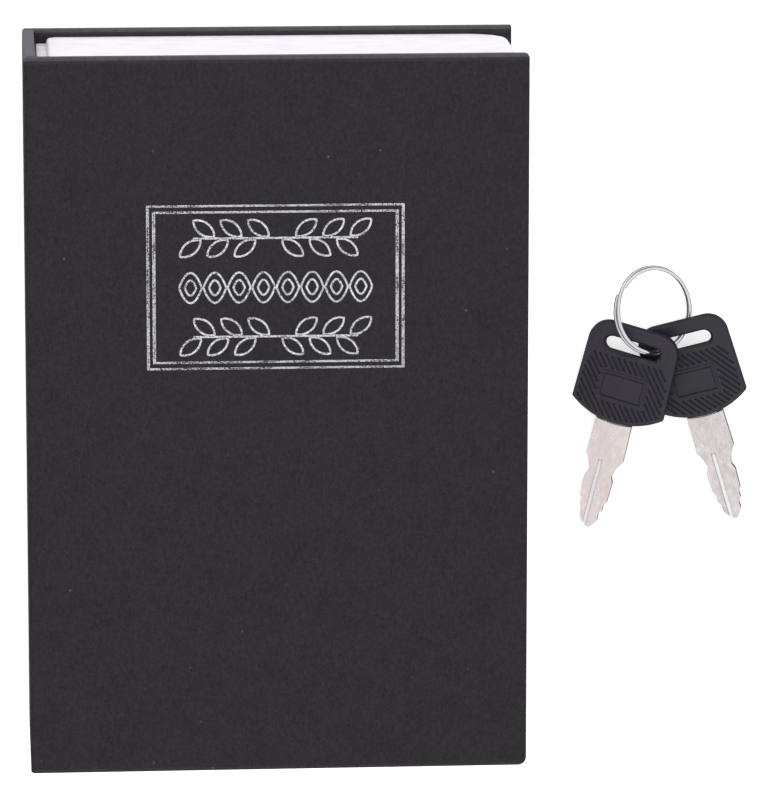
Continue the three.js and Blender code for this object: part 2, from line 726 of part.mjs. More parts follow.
const ringMesh = new THREE.Mesh(
  geometryOf(solidOf(new THREE.ExtrudeGeometry(
    wireSection, { steps: ringSteps, bevelEnabled: false, extrudePath: new RingCurve() },
  ))),
  finishes.chrome,
);
ringMesh.name = 'split_ring';
ringGroup.add(ringMesh);

// Keys, drawn flat: the slot's middle is the origin, +Y runs to the top of the bow
const bowHalf = bowWidth / 2;
function bowArc(clearance) {
  const radius = (bowHalf ** 2 + bowBulge ** 2) / (2 * bowBulge);
  return { radius: radius + clearance, y: bowBottom - bowBulge + radius };
}

function bowShape(inset = 0) {
  const shape = new THREE.Shape();
  const side = bowHalf - inset;
  const corner = bowCornerRadius - inset;
  const { radius, y } = bowArc(-inset);
  const end = Math.asin(side / radius);
  const topSide = side - bowTaper;
  shape.moveTo(side, y - radius * Math.cos(end));
  shape.lineTo(topSide, bowTop - inset - corner);
  shape.absarc(topSide - corner, bowTop - inset - corner, corner, 0, Math.PI / 2);
  shape.lineTo(-topSide + corner, bowTop - inset);
  shape.absarc(-topSide + corner, bowTop - inset - corner, corner, Math.PI / 2, Math.PI);
  shape.lineTo(-side, y - radius * Math.cos(end));
  shape.absarc(0, y, radius, -Math.PI / 2 - end, -Math.PI / 2 + end);
  return shape;
}

function slotShape() {
  const radius = keySlotWidth / 2;
  const reach = keySlotLength / 2 - radius;
  const shape = new THREE.Shape();
  shape.moveTo(-reach, -radius);
  shape.lineTo(reach, -radius);
  shape.absarc(reach, 0, radius, -Math.PI / 2, Math.PI / 2);
  shape.lineTo(-reach, radius);
  shape.absarc(-reach, 0, radius, Math.PI / 2, 1.5 * Math.PI);
  return shape;
}

// Slanting grooves on both faces of the bow round a plain panel
function bowGrooves() {
  const depth = bowThickness / 2;
  const field = prism(bowShape(bowRim), -depth - 1, depth + 1).intersect(
    block(-bowHalf, bowHalf, bowBottom - bowBulge, -keySlotWidth / 2 - slotCollar, -depth - 1, depth + 1),
  ).subtract(block(
    -panelWidth / 2, panelWidth / 2, panelCentre - panelHeight / 2, panelCentre + panelHeight / 2,
    -depth - 2, depth + 2,
  ));
  const run = bowWidth * 2;
  const turn = 180 - THREE.MathUtils.radToDeg(ridgeAngle);
  const stripes = [];
  for (let x = -bowWidth; x <= bowWidth; x += ridgePitch / Math.sin(ridgeAngle)) {
    for (const side of [-1, 1]) {
      const bottom = side < 0 ? -depth - 1 : depth - ridgeDepth;
      const top = bottom + 1 + ridgeDepth;
      const stripe = block(-run / 2, run / 2, -ridgeGroove / 2, ridgeGroove / 2, bottom, top);
      stripes.push(stripe.rotate([0, 0, turn]).translate([x, panelCentre, 0]));
    }
  }
  return wasm.Manifold.union(stripes).intersect(field);
}

function keyBow() {
  const depth = bowThickness / 2;
  const slot = prism(slotShape(), -depth - 1, depth + 1);
  const mouth = bowBottom - bowBulge;
  const pocketX = tangWidth / 2 + tangClearance;
  const pocketZ = tangThickness / 2 + tangClearance;
  const pocket = block(-pocketX, pocketX, mouth - 1, mouth + tangLength + tangClearance, -pocketZ, pocketZ);
  return prism(bowShape(), -depth, depth).subtract(slot).subtract(pocket).subtract(bowGrooves());
}

// Blade outline: shoulders, then the cuts down each edge to the tip
function bladeShape() {
  const root = bladeRootWidth / 2;
  const side = bladeWidth / 2;
  const tip = bladeTipWidth / 2;
  const { radius, y } = bowArc(tangClearance);
  const end = Math.asin(root / radius);
  const edge = (cuts, sign) => cuts.map(([down, half]) => [sign * half, bladeShoulder - down]);
  const shape = new THREE.Shape();
  shape.moveTo(-root, y - radius * Math.cos(end));
  const outline = [
    [-side, bladeShoulder], ...edge(bladeCuts.left, -1), [-tip, bladeTip],
    [tip, bladeTip], ...edge(bladeCuts.right, 1).reverse(), [side, bladeShoulder],
  ];
  for (const [x, v] of outline) shape.lineTo(x, v);
  shape.lineTo(root, y - radius * Math.cos(end));
  shape.absarc(0, y, radius, -Math.PI / 2 + end, -Math.PI / 2 - end, true);
  return shape;
}

function keyBlade() {
  const depth = bladeThickness / 2;
  const mouth = bowBottom - bowBulge;
  const tangX = tangWidth / 2;
  const tangZ = tangThickness / 2;
  const tang = block(-tangX, tangX, mouth - tangRoot, mouth + tangLength, -tangZ, tangZ);
  const groove = (x, z0) => block(
    x - bladeGrooveWidth / 2, x + bladeGrooveWidth / 2, bladeTip - 1, bladeShoulder - bladeGrooveStart,
    z0, z0 + 1 + bladeGrooveDepth,
  );
  return prism(bladeShape(), -depth, depth).add(tang)
    .subtract(groove(-bladeGrooveOffset, depth - bladeGrooveDepth))
    .subtract(groove(bladeGrooveOffset, -depth - 1));
}

for (const place of keyPlaces) {
  const onRing = new THREE.Vector3(
    ringRadius * Math.cos(place.ringAngle), ringRadius * Math.sin(place.ringAngle), 0,
  ).applyEuler(ringGroup.rotation);
  const keyGroup = new THREE.Group();
  keyGroup.rotation.set(place.pitch, place.roll, place.turn, 'ZYX');
  const slotPoint = new THREE.Vector3(...place.slotPoint, 0).applyEuler(keyGroup.rotation);
  keyGroup.position.copy(ringCentre).add(onRing).sub(slotPoint);
  keySet.add(keyGroup);
  addPiece(keyGroup, `${place.name}_bow`, keyBow(), finishes.bow);
  addPiece(keyGroup, `${place.name}_blade`, keyBlade(), finishes.nickel);
}

export default book;
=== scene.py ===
"""Book diversion safe with its two keys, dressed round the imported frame.

Lengths are written in millimetres and turned to metres by MM where a mesh is made.
"""

import math

import bmesh
import bpy
from mathutils import Euler, Matrix, Vector


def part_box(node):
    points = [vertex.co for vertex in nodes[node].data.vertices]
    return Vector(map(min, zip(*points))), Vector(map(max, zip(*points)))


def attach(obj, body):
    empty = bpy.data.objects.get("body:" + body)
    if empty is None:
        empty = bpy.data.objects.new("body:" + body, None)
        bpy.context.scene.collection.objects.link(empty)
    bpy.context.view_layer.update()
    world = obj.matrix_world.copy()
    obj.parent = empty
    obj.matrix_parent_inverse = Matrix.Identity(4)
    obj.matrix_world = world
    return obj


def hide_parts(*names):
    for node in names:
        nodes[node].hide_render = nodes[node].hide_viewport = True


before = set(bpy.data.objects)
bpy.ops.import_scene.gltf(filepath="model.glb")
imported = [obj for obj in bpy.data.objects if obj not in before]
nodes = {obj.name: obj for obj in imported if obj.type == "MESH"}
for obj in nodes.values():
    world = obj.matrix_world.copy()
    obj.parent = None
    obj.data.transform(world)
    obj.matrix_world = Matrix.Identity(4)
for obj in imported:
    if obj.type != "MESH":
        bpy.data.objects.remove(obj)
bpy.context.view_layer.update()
scene = bpy.context.scene

MM = 0.001

# Kinds of node that come again and again; a range takes a value, its low and high, and what those become
MATH = "ShaderNodeMath"
RANGE = "ShaderNodeMapRange"
MIX = "ShaderNodeMix"
BUMP = "ShaderNodeBump"

# Book, outside
SPINE_X = -62.0
FORE_EDGE_X = 62.0
HALF_HEIGHT = 90.0
THICKNESS = 55.0
CLOTH = 0.4
BOARD = 2.4
COVER_X0 = SPINE_X + CLOTH + 0.1
COVER_DEPTH = 2.95
BOARD_BOTTOM = CLOTH + BOARD
TURN_IN = 15.0
EDGE_ROUND = 0.8
INNER_ROUND = 0.4

# Paper inside the covers: its margin, the depths of foot and face, and how much less both are off the cloth
PAPER_MARGIN = 4.0
PAPER_FOOT = 2.94
PAPER_FACE = 3.05
PAPER_SAG = (0.08, 0.07)

# Spine, its board standing between the covers
BOARD_Z = (3.2, 51.8)
SHEET = CLOTH + 0.08
BACK_BEND_DEPTH = 0.8
BACK_BEND_LENGTH = 6
# How grey the spine's cloth turns at head and tail: real wear together with a painted highlight
SPINE_WEAR_AND_LIGHT = 0.62

# Page block; real leaves of about 0.1 mm are drawn at 0.55 mm so that they show
BLOCK_X0 = -55.9
BLOCK_X1 = 60.3
BLOCK_Y = 88.0
BLOCK_Z0 = 3.0
BLOCK_Z1 = 51.5
BLOCK_WALL = 1.6
BLOCK_BACK_RADIUS = 9.0
BLOCK_SPINE_RADIUS = 1.6
BLOCK_CORNER = 0.9
BLOCK_RIM = 0.3
LEAF = 0.55
LEAF_GROOVE = 0.11
STRIP_X0 = -58.7
STRIP_Y = 86.4

# Foil border
FOIL_X = (-32.4, 31.2)
FOIL_Y = (12.1, 53.2)
FOIL_RISE = 0.05
SPRAY_Y = {"head": 44.9, "tail": 20.3}
LOZENGE_Y = 32.6

# Lock and rivets
LOCK_X = 36.2
LID_TOP_Z = 49.3
RIVET_HEAD_RADIUS = 2.4
RIVET_HEAD_HEIGHT = 1.1
RIVET_SHANK_RADIUS = 1.2

# Keys and ring, drawn flat and then laid where they hang; a groove's half widths are at its top and bottom
KEYS = {
    "key_1": {
        "body": "upper_key", "at": (93.314, 7.215, 7.371), "lie": (7.5, -15.48, -14.89),
        "blade_tones": ("#f8eae2", "#fffefa", "#f1e4dd"),
    },
    "key_2": {
        "body": "lower_key", "at": (106.515, 8.521, 5.132), "lie": (3.94, -12.18, 16.19),
        "blade_tones": ("#dfd5d2", "#f4eeed", "#d2cac9"),
    },
}
BOW_HALF = 12.15
BOW_TAPER = 0.35
BOW_TOP = 5.45
BOW_BOTTOM = -16.3
BOW_BULGE = 4.2
BOW_CORNER = 5.2
BOW_ARC_RADIUS = (BOW_HALF ** 2 + BOW_BULGE ** 2) / (2 * BOW_BULGE)
BOW_ARC_Y = BOW_BOTTOM - BOW_BULGE + BOW_ARC_RADIUS
BOW_HALF_THICKNESS = 1.35
BOW_SOFT_EDGE = 0.35
SLOT_REACH = 5.45
SLOT_RADIUS = 1.8
PANEL_X = 5.85
PANEL_Y = (-14.6, -7.2)
PANEL_GAP = 0.45
FIELD_RIM = 0.8
FIELD_TOP = -2.9
COLLAR = 1.2
COLLAR_Y = (-9.0, -3.0)
GROOVE_PITCH = 1.25
GROOVE_ANGLE = math.radians(-51)
GROOVE_HALF = (0.31, 0.1)
GROOVE_DEPTH = 0.34
RING_CENTRE = (98.52, 16.65, 5.828)
RING_TILT = math.radians(26.52)
RING_HIGH_SIDE = math.radians(194.47)
RING_RADIUS = 10.9
RING_TURNS = 1.97
RING_PHASE = math.radians(-40)


# Nodes, colours and materials

def colour(hex_value):
    """sRGB hex to the linear colour that the shaders take."""
    parts = [int(hex_value[i:i + 2], 16) / 255 for i in (1, 3, 5)]
    return tuple(c / 12.92 if c <= 0.04045 else ((c + 0.055) / 1.055) ** 2.4 for c in parts) + (1.0,)


def add(tree, kind, inputs=(), **settings):
    """Adds one node with its settings and returns its outputs.

    The inputs are a list in the node's own order, or a dict by name or number. Each is a value, the socket
    that feeds it, or a list of sockets that feed it one after another.
    """
    made = tree.nodes.new(kind)
    for name, value in settings.items():
        setattr(made, name, value)
    for key, given in inputs.items() if isinstance(inputs, dict) else enumerate(inputs):
        for value in given if isinstance(given, list) else [given]:
            if isinstance(value, bpy.types.NodeSocket):
                tree.links.new(value, made.inputs[key])
            else:
                made.inputs[key].default_value = value
    return made.outputs


def socket_name(key):
    """The shader's own name for a socket: specular_ior_level is Specular IOR Level."""
    return key.replace("_", " ").title().replace("Ior", "IOR")


def new_material(name, **constants):
    """A material with one Principled shader, its constant values set on the shader's own sockets."""
    material = bpy.data.materials.new(name)
    material.use_nodes = True
    shader = material.node_tree.nodes["Principled BSDF"]
    for key, value in constants.items():
        shader.inputs[socket_name(key)].default_value = value
    return material, material.node_tree


def feed(material, **sockets):
    """Links what varies over the surface to the material's shader."""
    tree = material.node_tree
    shader = tree.nodes["Principled BSDF"]
    for key, socket in sockets.items():
        tree.links.new(socket, shader.inputs[socket_name(key)])
    return material


def grain(tree, size, stretch=(1, 1, 1), turn=0.0, detail=2.0, roughness=0.5, distortion=0.0):
    """Noise of one grain size in millimetres on Object coordinates, stretched by the given factors."""
    here = add(tree, "ShaderNodeTexCoord")["Object"]
    if turn:
        here = add(tree, "ShaderNodeMapping", {"Vector": here, "Rotation": (0, 0, -turn)})[0]
    scale = tuple(1 / (size * s * MM) for s in stretch)
    placed = add(tree, "ShaderNodeMapping", {"Vector": here, "Scale": scale})[0]
    return add(tree, "ShaderNodeTexNoise", {
        "Vector": placed, "Scale": 1, "Detail": detail, "Roughness": roughness, "Distortion": distortion,
    })["Fac"]


def two_tone(name, tones, ends, relief, texture, **constants):
    """A material whose one texture turns it from the first tone to the second and raises it by relief in mm.

    The texture is given as grain takes it, and ends are its values where either tone is full.
    """
    material, tree = new_material(name, **constants)
    share = add(tree, RANGE, [grain(tree, **texture), *ends])[0]
    tone = add(tree, MIX, {0: share, 6: colour(tones[0]), 7: colour(tones[1])}, data_type="RGBA")[2]
    raised = add(tree, BUMP, {"Height": share, "Distance": relief * MM})[0]
    return feed(material, base_color=tone, normal=raised), tree, share


def black_book_cloth():
    # Starched cotton book cloth: matt black, its short slubbed threads wandering, a pale fleck here and
    # there, and greyer at the head edges, the tail edges less so, partly from rubbing and partly as a painted
    # highlight where the light falls on the head faces; threads of 0.2 mm are drawn at 0.6 mm so that they
    # show
    material, tree = new_material(
        "black_book_cloth", roughness=0.88, specular_ior_level=0.15, sheen_weight=0.02, sheen_roughness=0.5,
    )
    thread_size, slub, wander = 0.6, 2.2, 1.2
    upright = grain(tree, thread_size, (1, slub, slub), detail=2.5, roughness=0.6, distortion=wander)
    level = grain(tree, thread_size, (slub, 1, slub), detail=2.5, roughness=0.6, distortion=wander)
    upright = add(tree, MATH, [upright, 0.65], operation="MULTIPLY")[0]
    level = add(tree, MATH, [level, 0.35], operation="MULTIPLY")[0]
    weave = add(tree, MATH, [upright, level], operation="ADD")[0]
    clouds = add(tree, RANGE, [grain(tree, 9, detail=3), 0.3, 0.7, -0.03, 0.03])[0]
    clouded = add(tree, MATH, [weave, clouds], operation="ADD")[0]
    thread = add(tree, RANGE, [clouded, 0.36, 0.64])[0]
    tone = add(tree, MIX, {0: thread, 6: colour("#292629"), 7: colour("#383538")}, data_type="RGBA")[2]

    # Of the cells, 13 mm wide, one in three has a fleck, and most of those flecks are faint
    cell = 13 * MM
    here = add(tree, "ShaderNodeTexCoord")["Object"]
    leaning = add(tree, "ShaderNodeMapping", {"Vector": here, "Rotation": (0.5, 0.35, 0)})[0]
    cells = add(tree, "ShaderNodeTexVoronoi", {"Vector": leaning, "Scale": 1 / cell}, voronoi_dimensions="2D")
    chance = add(tree, "ShaderNodeSeparateColor", {0: cells["Color"]})[0]
    chance = add(tree, RANGE, [chance, 0.7, 1])[0]
    chance = add(tree, MATH, [chance, chance], operation="MULTIPLY")[0]
    speck = add(tree, RANGE, [cells["Distance"], 0.011, 0.026, 1, 0])[0]
    fleck = add(tree, MATH, [speck, chance], operation="MULTIPLY")[0]
    tone = add(tree, MIX, {0: fleck, 6: tone, 7: colour("#676568")}, data_type="RGBA")[2]

    # Wear and a painted highlight: a little beside the fold at head and tail, much on the fold itself
    from_middle = add(tree, "ShaderNodeSeparateXYZ", {0: here})[1]
    along = add(tree, MATH, [from_middle], operation="ABSOLUTE")[0]
    beside, fold = (
        add(tree, RANGE, [along, (HALF_HEIGHT - start) * MM, (HALF_HEIGHT - full) * MM, 0, most])[0]
        for start, full, most in ((1.8, 1.4, 0.12), (0.95, 0.65, 0.63))
    )
    worn_and_lit = add(tree, MATH, [beside, fold], operation="ADD")[0]
    uneven = add(tree, RANGE, [grain(tree, 1.2, detail=3), 0.3, 0.6, 0.7, 1.0])[0]
    # Stronger towards the head, where the painted highlight stands for the light falling on the head faces
    to_head = add(tree, RANGE, [from_middle, -20 * MM, 20 * MM, 0.25, 1])[0]
    piece_share = add(tree, "ShaderNodeAttribute", attribute_name="rubbed_and_lit")["Fac"]
    for share in (uneven, to_head, piece_share):
        worn_and_lit = add(tree, MATH, [worn_and_lit, share], operation="MULTIPLY")[0]
    tone = add(tree, MIX, {0: worn_and_lit, 6: tone, 7: colour("#8a888e")}, data_type="RGBA")[2]
    relief = add(tree, BUMP, {"Height": weave, "Distance": 0.08 * MM})[0]
    return feed(material, base_color=tone, normal=relief)


def moulded_page_polystyrene():
    # White injection-moulded polystyrene: even and slightly satin, with faint flow clouds, and the
    # grooves between its leaves darker, from dust and from painted shade
    material, tree = new_material("moulded_page_polystyrene", specular_ior_level=0.3)
    flow = grain(tree, 6, (1, 2, 1), detail=3)
    clouds = add(tree, RANGE, [flow, 0.35, 0.65])[0]
    plastic = add(tree, MIX, {0: clouds, 6: colour("#f1eef3"), 7: colour("#f7f4f9")}, data_type="RGBA")[2]
    # The grooves between the leaves are darkened: dust together with painted shade
    gap = add(tree, "ShaderNodeAttribute", attribute_name="gap")["Fac"]
    patchy_groove_darkening = add(tree, RANGE, [grain(tree, 4, (5, 5, 1)), 0.3, 0.7, 0.15, 0.5])[0]
    dust_and_shade = add(tree, MATH, [gap, patchy_groove_darkening], operation="MULTIPLY")[0]
    tone = add(tree, MIX, {0: dust_and_shade, 6: plastic, 7: colour("#a9a6ab")}, data_type="RGBA")[2]
    satin = add(tree, RANGE, [flow, 0.3, 0.7, 0.5, 0.58])[0]
    relief = add(tree, BUMP, {"Height": grain(tree, 0.35), "Distance": 0.012 * MM})[0]
    return feed(material, base_color=tone, roughness=satin, normal=relief)


def grained_spine_strip():
    # The same white plastic moulded as bundled pages: each bundle a little greyer or lighter than the next
    material, tree = new_material("grained_spine_strip", roughness=0.55, specular_ior_level=0.3)
    coarse = grain(tree, 4, (9, 9, 1), detail=3, roughness=0.7)
    fine = grain(tree, 0.9, (9, 9, 1), detail=3)
    bundles = add(tree, RANGE, [coarse, 0.36, 0.62])[0]
    streaks = add(tree, RANGE, [fine, 0.38, 0.62])[0]
    tone = add(tree, MIX, {0: bundles, 6: colour("#dddbde"), 7: colour("#f8f6f9")}, data_type="RGBA")[2]
    paler = add(tree, MATH, [streaks, 0.4], operation="MULTIPLY")[0]
    tone = add(tree, MIX, {0: paler, 6: tone, 7: colour("#fbf9fc")}, data_type="RGBA")[2]
    relief = add(tree, BUMP, {"Height": streaks, "Distance": 0.08 * MM})[0]
    return feed(material, base_color=tone, normal=relief)


def powder_coated_steel():
    # Black polyester powder coat on sheet steel: satin, with the orange peel of a baked coat
    material, tree = new_material("powder_coated_steel", specular_ior_level=0.4)
    speckle = add(tree, RANGE, [grain(tree, 0.3), 0.3, 0.7])[0]
    tone = add(tree, MIX, {0: speckle, 6: colour("#1a1a1d"), 7: colour("#252529")}, data_type="RGBA")[2]
    satin = add(tree, RANGE, [grain(tree, 9, detail=3), 0.3, 0.7, 0.4, 0.54])[0]
    peel = add(tree, BUMP, {"Height": grain(tree, 0.7, detail=1.5), "Distance": 0.06 * MM})[0]
    return feed(material, base_color=tone, roughness=satin, normal=peel)


def polished_chrome():
    # Decorative chrome plate on the lock: mirror bright with light handling smears
    material, tree = new_material("polished_chrome", metallic=1.0, base_color=colour("#d5d7da"))
    smears = add(tree, RANGE, [grain(tree, 5, detail=4), 0.35, 0.75, 0.07, 0.22])[0]
    return feed(material, roughness=smears)


def bright_zinc_plate():
    # Zinc-plated steel hardware: cool grey, softly mottled
    material, tree, mottle = two_tone(
        "bright_zinc_plate", ("#a9acb1", "#c3c6ca"), (0.3, 0.7), 0.008,
        {"size": 1.1, "detail": 3}, metallic=1.0,
    )
    return feed(material, roughness=add(tree, RANGE, [mottle, 0, 1, 0.26, 0.42])[0])


def stamped_brass():
    # Stamped brass wafers: warm yellow with fine rolling lines
    material, tree = new_material("stamped_brass", metallic=1.0, roughness=0.3)
    lines = add(tree, RANGE, [grain(tree, 0.2, (1, 12, 12)), 0.35, 0.65])[0]
    tone = add(tree, MIX, {0: lines, 6: colour("#a5853f"), 7: colour("#c4a35c")}, data_type="RGBA")[2]
    return feed(material, base_color=tone)


def nickel_plated_blade(name, turn, dark_line, light_line, cloud):
    # Nickel-plated brass key blank, tumbled after cutting: warm pale silver, clouded and faintly lined along
    # its length; the floor of its milled groove carries a painted highlight and its walls painted shade, both
    # drawn from local occlusion
    material, tree = new_material(name, metallic=1.0)
    drawn = grain(tree, 0.3, (1, 9, 1), turn, detail=3)
    tumbled = grain(tree, 1.7, (1, 1.6, 1), turn, detail=4, roughness=0.65)
    lines = add(tree, RANGE, [drawn, 0.32, 0.68])[0]
    clouds = add(tree, RANGE, [tumbled, 0.36, 0.66])[0]
    # Painted light from local occlusion: a painted highlight on the groove's floor, painted shade on its
    # walls and in hollows near the bow
    open_sky = add(tree, "ShaderNodeAmbientOcclusion", {"Distance": 1.4 * MM}, only_local=True)["AO"]
    off_walls = add(tree, RANGE, [open_sky, 0.64, 0.78])[0]
    below_face, painted_hollow_shade = (
        add(tree, RANGE, [open_sky, low, high, most, 0])[0]
        for low, high, most in ((0.86, 0.95, 1), (0.52, 0.74, 0.9))
    )
    painted_groove_highlight = add(tree, MATH, [off_walls, below_face], operation="MULTIPLY")[0]
    tone = colour(dark_line)
    for share, hex_value in (
        (lines, light_line), (clouds, cloud), (painted_groove_highlight, "#ffffff"), (painted_hollow_shade, "#6f6865"),
    ):
        tone = add(tree, MIX, {0: share, 6: tone, 7: colour(hex_value)}, data_type="RGBA")[2]
    gloss = add(tree, RANGE, [clouds, 0, 1, 0.27, 0.35])[0]
    height = add(tree, MATH, [lines, clouds], operation="ADD")[0]
    relief = add(tree, BUMP, {"Height": height, "Distance": 0.003 * MM})[0]
    return feed(material, base_color=tone, roughness=gloss, normal=relief)


def plated_spring_wire():
    # Nickel-plated flat spring wire: bright, with drawing lines that dull it unevenly
    material, tree = new_material("plated_spring_wire", metallic=1.0, base_color=colour("#e2e2e4"))
    dulled = add(tree, RANGE, [grain(tree, 1.4, detail=4), 0.35, 0.7, 0.05, 0.18])[0]
    return feed(material, roughness=dulled)


def hot_stamped_foil():
    # Silver foil stamped into cloth: the threads break it up, so black shows through in specks, and the die's
    # edges leave it brightest along both sides of a line
    material, tree = new_material("hot_stamped_foil", specular_ior_level=0.3)
    hollow = add(tree, "ShaderNodeAttribute", attribute_name="hollow")["Fac"]
    threads = grain(tree, 0.34, detail=2.5, roughness=0.6)
    patches = add(tree, RANGE, [grain(tree, 5, detail=2), 0.45, 0.62, 0, 0.1])[0]
    thinned = add(tree, MATH, [hollow, 0.6], operation="ADD")[0]
    thinned = add(tree, MATH, [thinned, patches], operation="MULTIPLY")[0]
    left = add(tree, MATH, [threads, thinned], operation="SUBTRACT")[0]
    broken = add(tree, RANGE, [left, 0.35, 0.47])[0]
    shimmer = add(tree, RANGE, [grain(tree, 0.8, detail=3), 0.35, 0.65])[0]
    silver = add(tree, MIX, {0: shimmer, 6: colour("#cfcdd1"), 7: colour("#fbfafc")}, data_type="RGBA")[2]
    half_hollow = add(tree, MATH, [hollow, 0.5], operation="MULTIPLY")[0]
    silver = add(tree, MIX, {0: half_hollow, 6: silver, 7: colour("#a9a7ab")}, data_type="RGBA")[2]
    tone = add(tree, MIX, {0: broken, 6: colour("#353236"), 7: silver}, data_type="RGBA")[2]
    gloss = add(tree, RANGE, [broken, 0, 1, 0.8, 0.36])[0]
    relief = add(tree, BUMP, {"Height": broken, "Distance": 0.03 * MM})[0]
    return feed(material, base_color=tone, metallic=broken, roughness=gloss, normal=relief)


cloth = black_book_cloth()
page_plastic = moulded_page_polystyrene()
strip_plastic = grained_spine_strip()
black_steel = powder_coated_steel()
chrome = polished_chrome()
zinc = bright_zinc_plate()
brass = stamped_brass()
foil = hot_stamped_foil()
ring_steel = plated_spring_wire()
blades = {
    name: nickel_plated_blade(f"nickel_plated_{name}", math.radians(key["lie"][2]), *key["blade_tones"])
    for name, key in KEYS.items()
}

# Pressed waste-paper board: warm grey, flecked with darker fibres
board = two_tone(
    "grey_book_board", ("#6f675c", "#8f877a"), (0.35, 0.6), 0.05,
    {"size": 0.6, "stretch": (1, 3, 1), "detail": 4}, roughness=0.9,
)[0]
# Uncoated wove paper pasted down: off-white, faint fibre clouds, matt
paper = two_tone(
    "wove_endpaper", ("#dedad3", "#ece9e3"), (0.3, 0.7), 0.02,
    {"size": 0.8, "detail": 5, "roughness": 0.7}, roughness=0.8, specular_ior_level=0.35,
)[0]
# Black ABS moulded in an eroded tool: matt, very fine even grain, a violet cast
bow_plastic = two_tone(
    "matt_moulded_plastic", ("#19161c", "#2a2630"), (0.3, 0.7), 0.035,
    {"size": 0.25, "detail": 3}, roughness=0.4, specular_ior_level=0.5,
)[0]


# Meshes

def keep_piece(piece, body, material, replaced=()):
    """Gives a piece its finish and its body, and hides the CAD nodes that it replaces."""
    piece.data.materials.clear()
    piece.data.materials.append(material)
    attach(piece, body)
    if replaced:
        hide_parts(*replaced)


def evaluated_mesh(piece):
    """A plain mesh of what a piece's modifiers or curve come to."""
    bpy.context.view_layer.update()
    return bpy.data.meshes.new_from_object(piece.evaluated_get(bpy.context.evaluated_depsgraph_get()))


def object_of(name, mesh, sharp=35, merge=1e-7):
    """An object for a closed mesh, its doubles merged, its faces turned out and its hard edges kept."""
    work = bmesh.new()
    work.from_mesh(mesh)
    bmesh.ops.remove_doubles(work, verts=work.verts, dist=merge)
    bmesh.ops.dissolve_degenerate(work, edges=work.edges, dist=1e-7)
    bmesh.ops.recalc_face_normals(work, faces=work.faces)
    work.to_mesh(mesh)
    work.free()
    mesh.shade_smooth()
    mesh.set_sharp_from_angle(angle=math.radians(sharp))
    piece = bpy.data.objects.new(name, mesh)
    scene.collection.objects.link(piece)
    return piece


def loose_object(name, points, faces):
    """A closed mesh object from points in millimetres."""
    mesh = bpy.data.meshes.new(name)
    mesh.from_pydata([tuple(c * MM for c in point) for point in points], [], faces)
    return object_of(name, mesh)


def skin(name, rings, attributes=None, sharp=35, looped=False):
    """A closed skin over rings of equal length, from a flat first one to a flat last one, or looped.

    An attribute is given as a function of the ring's number.
    """
    count = len(rings[0])
    points = [tuple(c * MM for c in point) for ring in rings for point in ring]
    faces = [] if looped else [tuple(range(count)), tuple(range(len(points) - count, len(points)))]
    for i in range(len(rings) if looped else len(rings) - 1):
        after = (i + 1) % len(rings)
        for j in range(count):
            k = (j + 1) % count
            faces.append((i * count + j, i * count + k, after * count + k, after * count + j))
    mesh = bpy.data.meshes.new(name)
    mesh.from_pydata(points, [], faces)
    for key, value_at in (attributes or {}).items():
        layer = mesh.attributes.new(key, "FLOAT", "POINT")
        layer.data.foreach_set("value", [value_at(i) for i in range(len(rings)) for _ in range(count)])
    return object_of(name, mesh, sharp)


def rounded(x0, x1, y0, y1, radii, steps=5):
    """Points round a rectangle from its corner x0 y0 on, with the radii [x0 y0, x1 y0, x1 y1, x0 y1]."""
    corners = [(x0, y0, 1, 1, 180), (x1, y0, -1, 1, 270), (x1, y1, -1, -1, 0), (x0, y1, 1, -1, 90)]
    points = []
    for (x, y, in_x, in_y, start), radius in zip(corners, radii):
        for i in range(steps + 1):
            angle = math.radians(start + 90 * i / steps)
            points.append((x + radius * (in_x + math.cos(angle)), y + radius * (in_y + math.sin(angle))))
    return points


def quarter(steps):
    """Sine and cosine of the angles from 0 to 90 degrees."""
    for i in range(steps + 1):
        angle = math.pi / 2 * i / steps
        yield math.sin(angle), math.cos(angle)


def smoothstep(value, low, high):
    share = min(max((value - low) / (high - low), 0), 1)
    return share * share * (3 - 2 * share)


# Covers: cloth drawn over the board's face and edges and turned in inside, where paper is pasted over it

def cover_outline(at_hinge, inset, radii, steps=5):
    """A cover's outline, drawn in from its spine side by at_hinge and from the other sides by inset."""
    return rounded(
        COVER_X0 + at_hinge, FORE_EDGE_X - inset, -HALF_HEIGHT + inset, HALF_HEIGHT - inset, radii, steps)


def wrapped_cover(name, body, outer_z, inward, corners, joint_round, wear_and_light, replaced):
    """A cover's cloth.

    corners gives the radii of its fore-edge corners at tail and head, and joint_round the rounding beside the
    spine along x and z.
    """
    rows = [
        (joint_round[0] * (1 - sine), EDGE_ROUND * (1 - sine), EDGE_ROUND * (1 - cosine))
        for sine, cosine in quarter(5)
    ]
    for sine, cosine in quarter(4):
        inset = INNER_ROUND * (1 - cosine)
        rows.append((inset, inset, COVER_DEPTH - INNER_ROUND * (1 - sine)))
    rows += [
        (inset, inset, depth) for inset, depth in
        ((TURN_IN, COVER_DEPTH), (TURN_IN, BOARD_BOTTOM), (CLOTH, BOARD_BOTTOM), (CLOTH, CLOTH))
    ]
    rings = []
    for at_hinge, inset, depth in rows:
        tail, head = (max(corner - inset, 0) for corner in corners)
        steeper = joint_round[1] / EDGE_ROUND if depth <= EDGE_ROUND else 1
        rings.append([
            (x, y, outer_z + inward * depth * (steeper if x <= COVER_X0 + joint_round[0] else 1))
            for x, y in cover_outline(at_hinge, inset, [0, tail, head, 0])
        ])
    # How grey the cloth turns at head and tail: real wear together with a painted highlight on the head faces
    piece = skin(name, rings, {"rubbed_and_lit": lambda i: wear_and_light})
    keep_piece(piece, body, cloth, replaced)


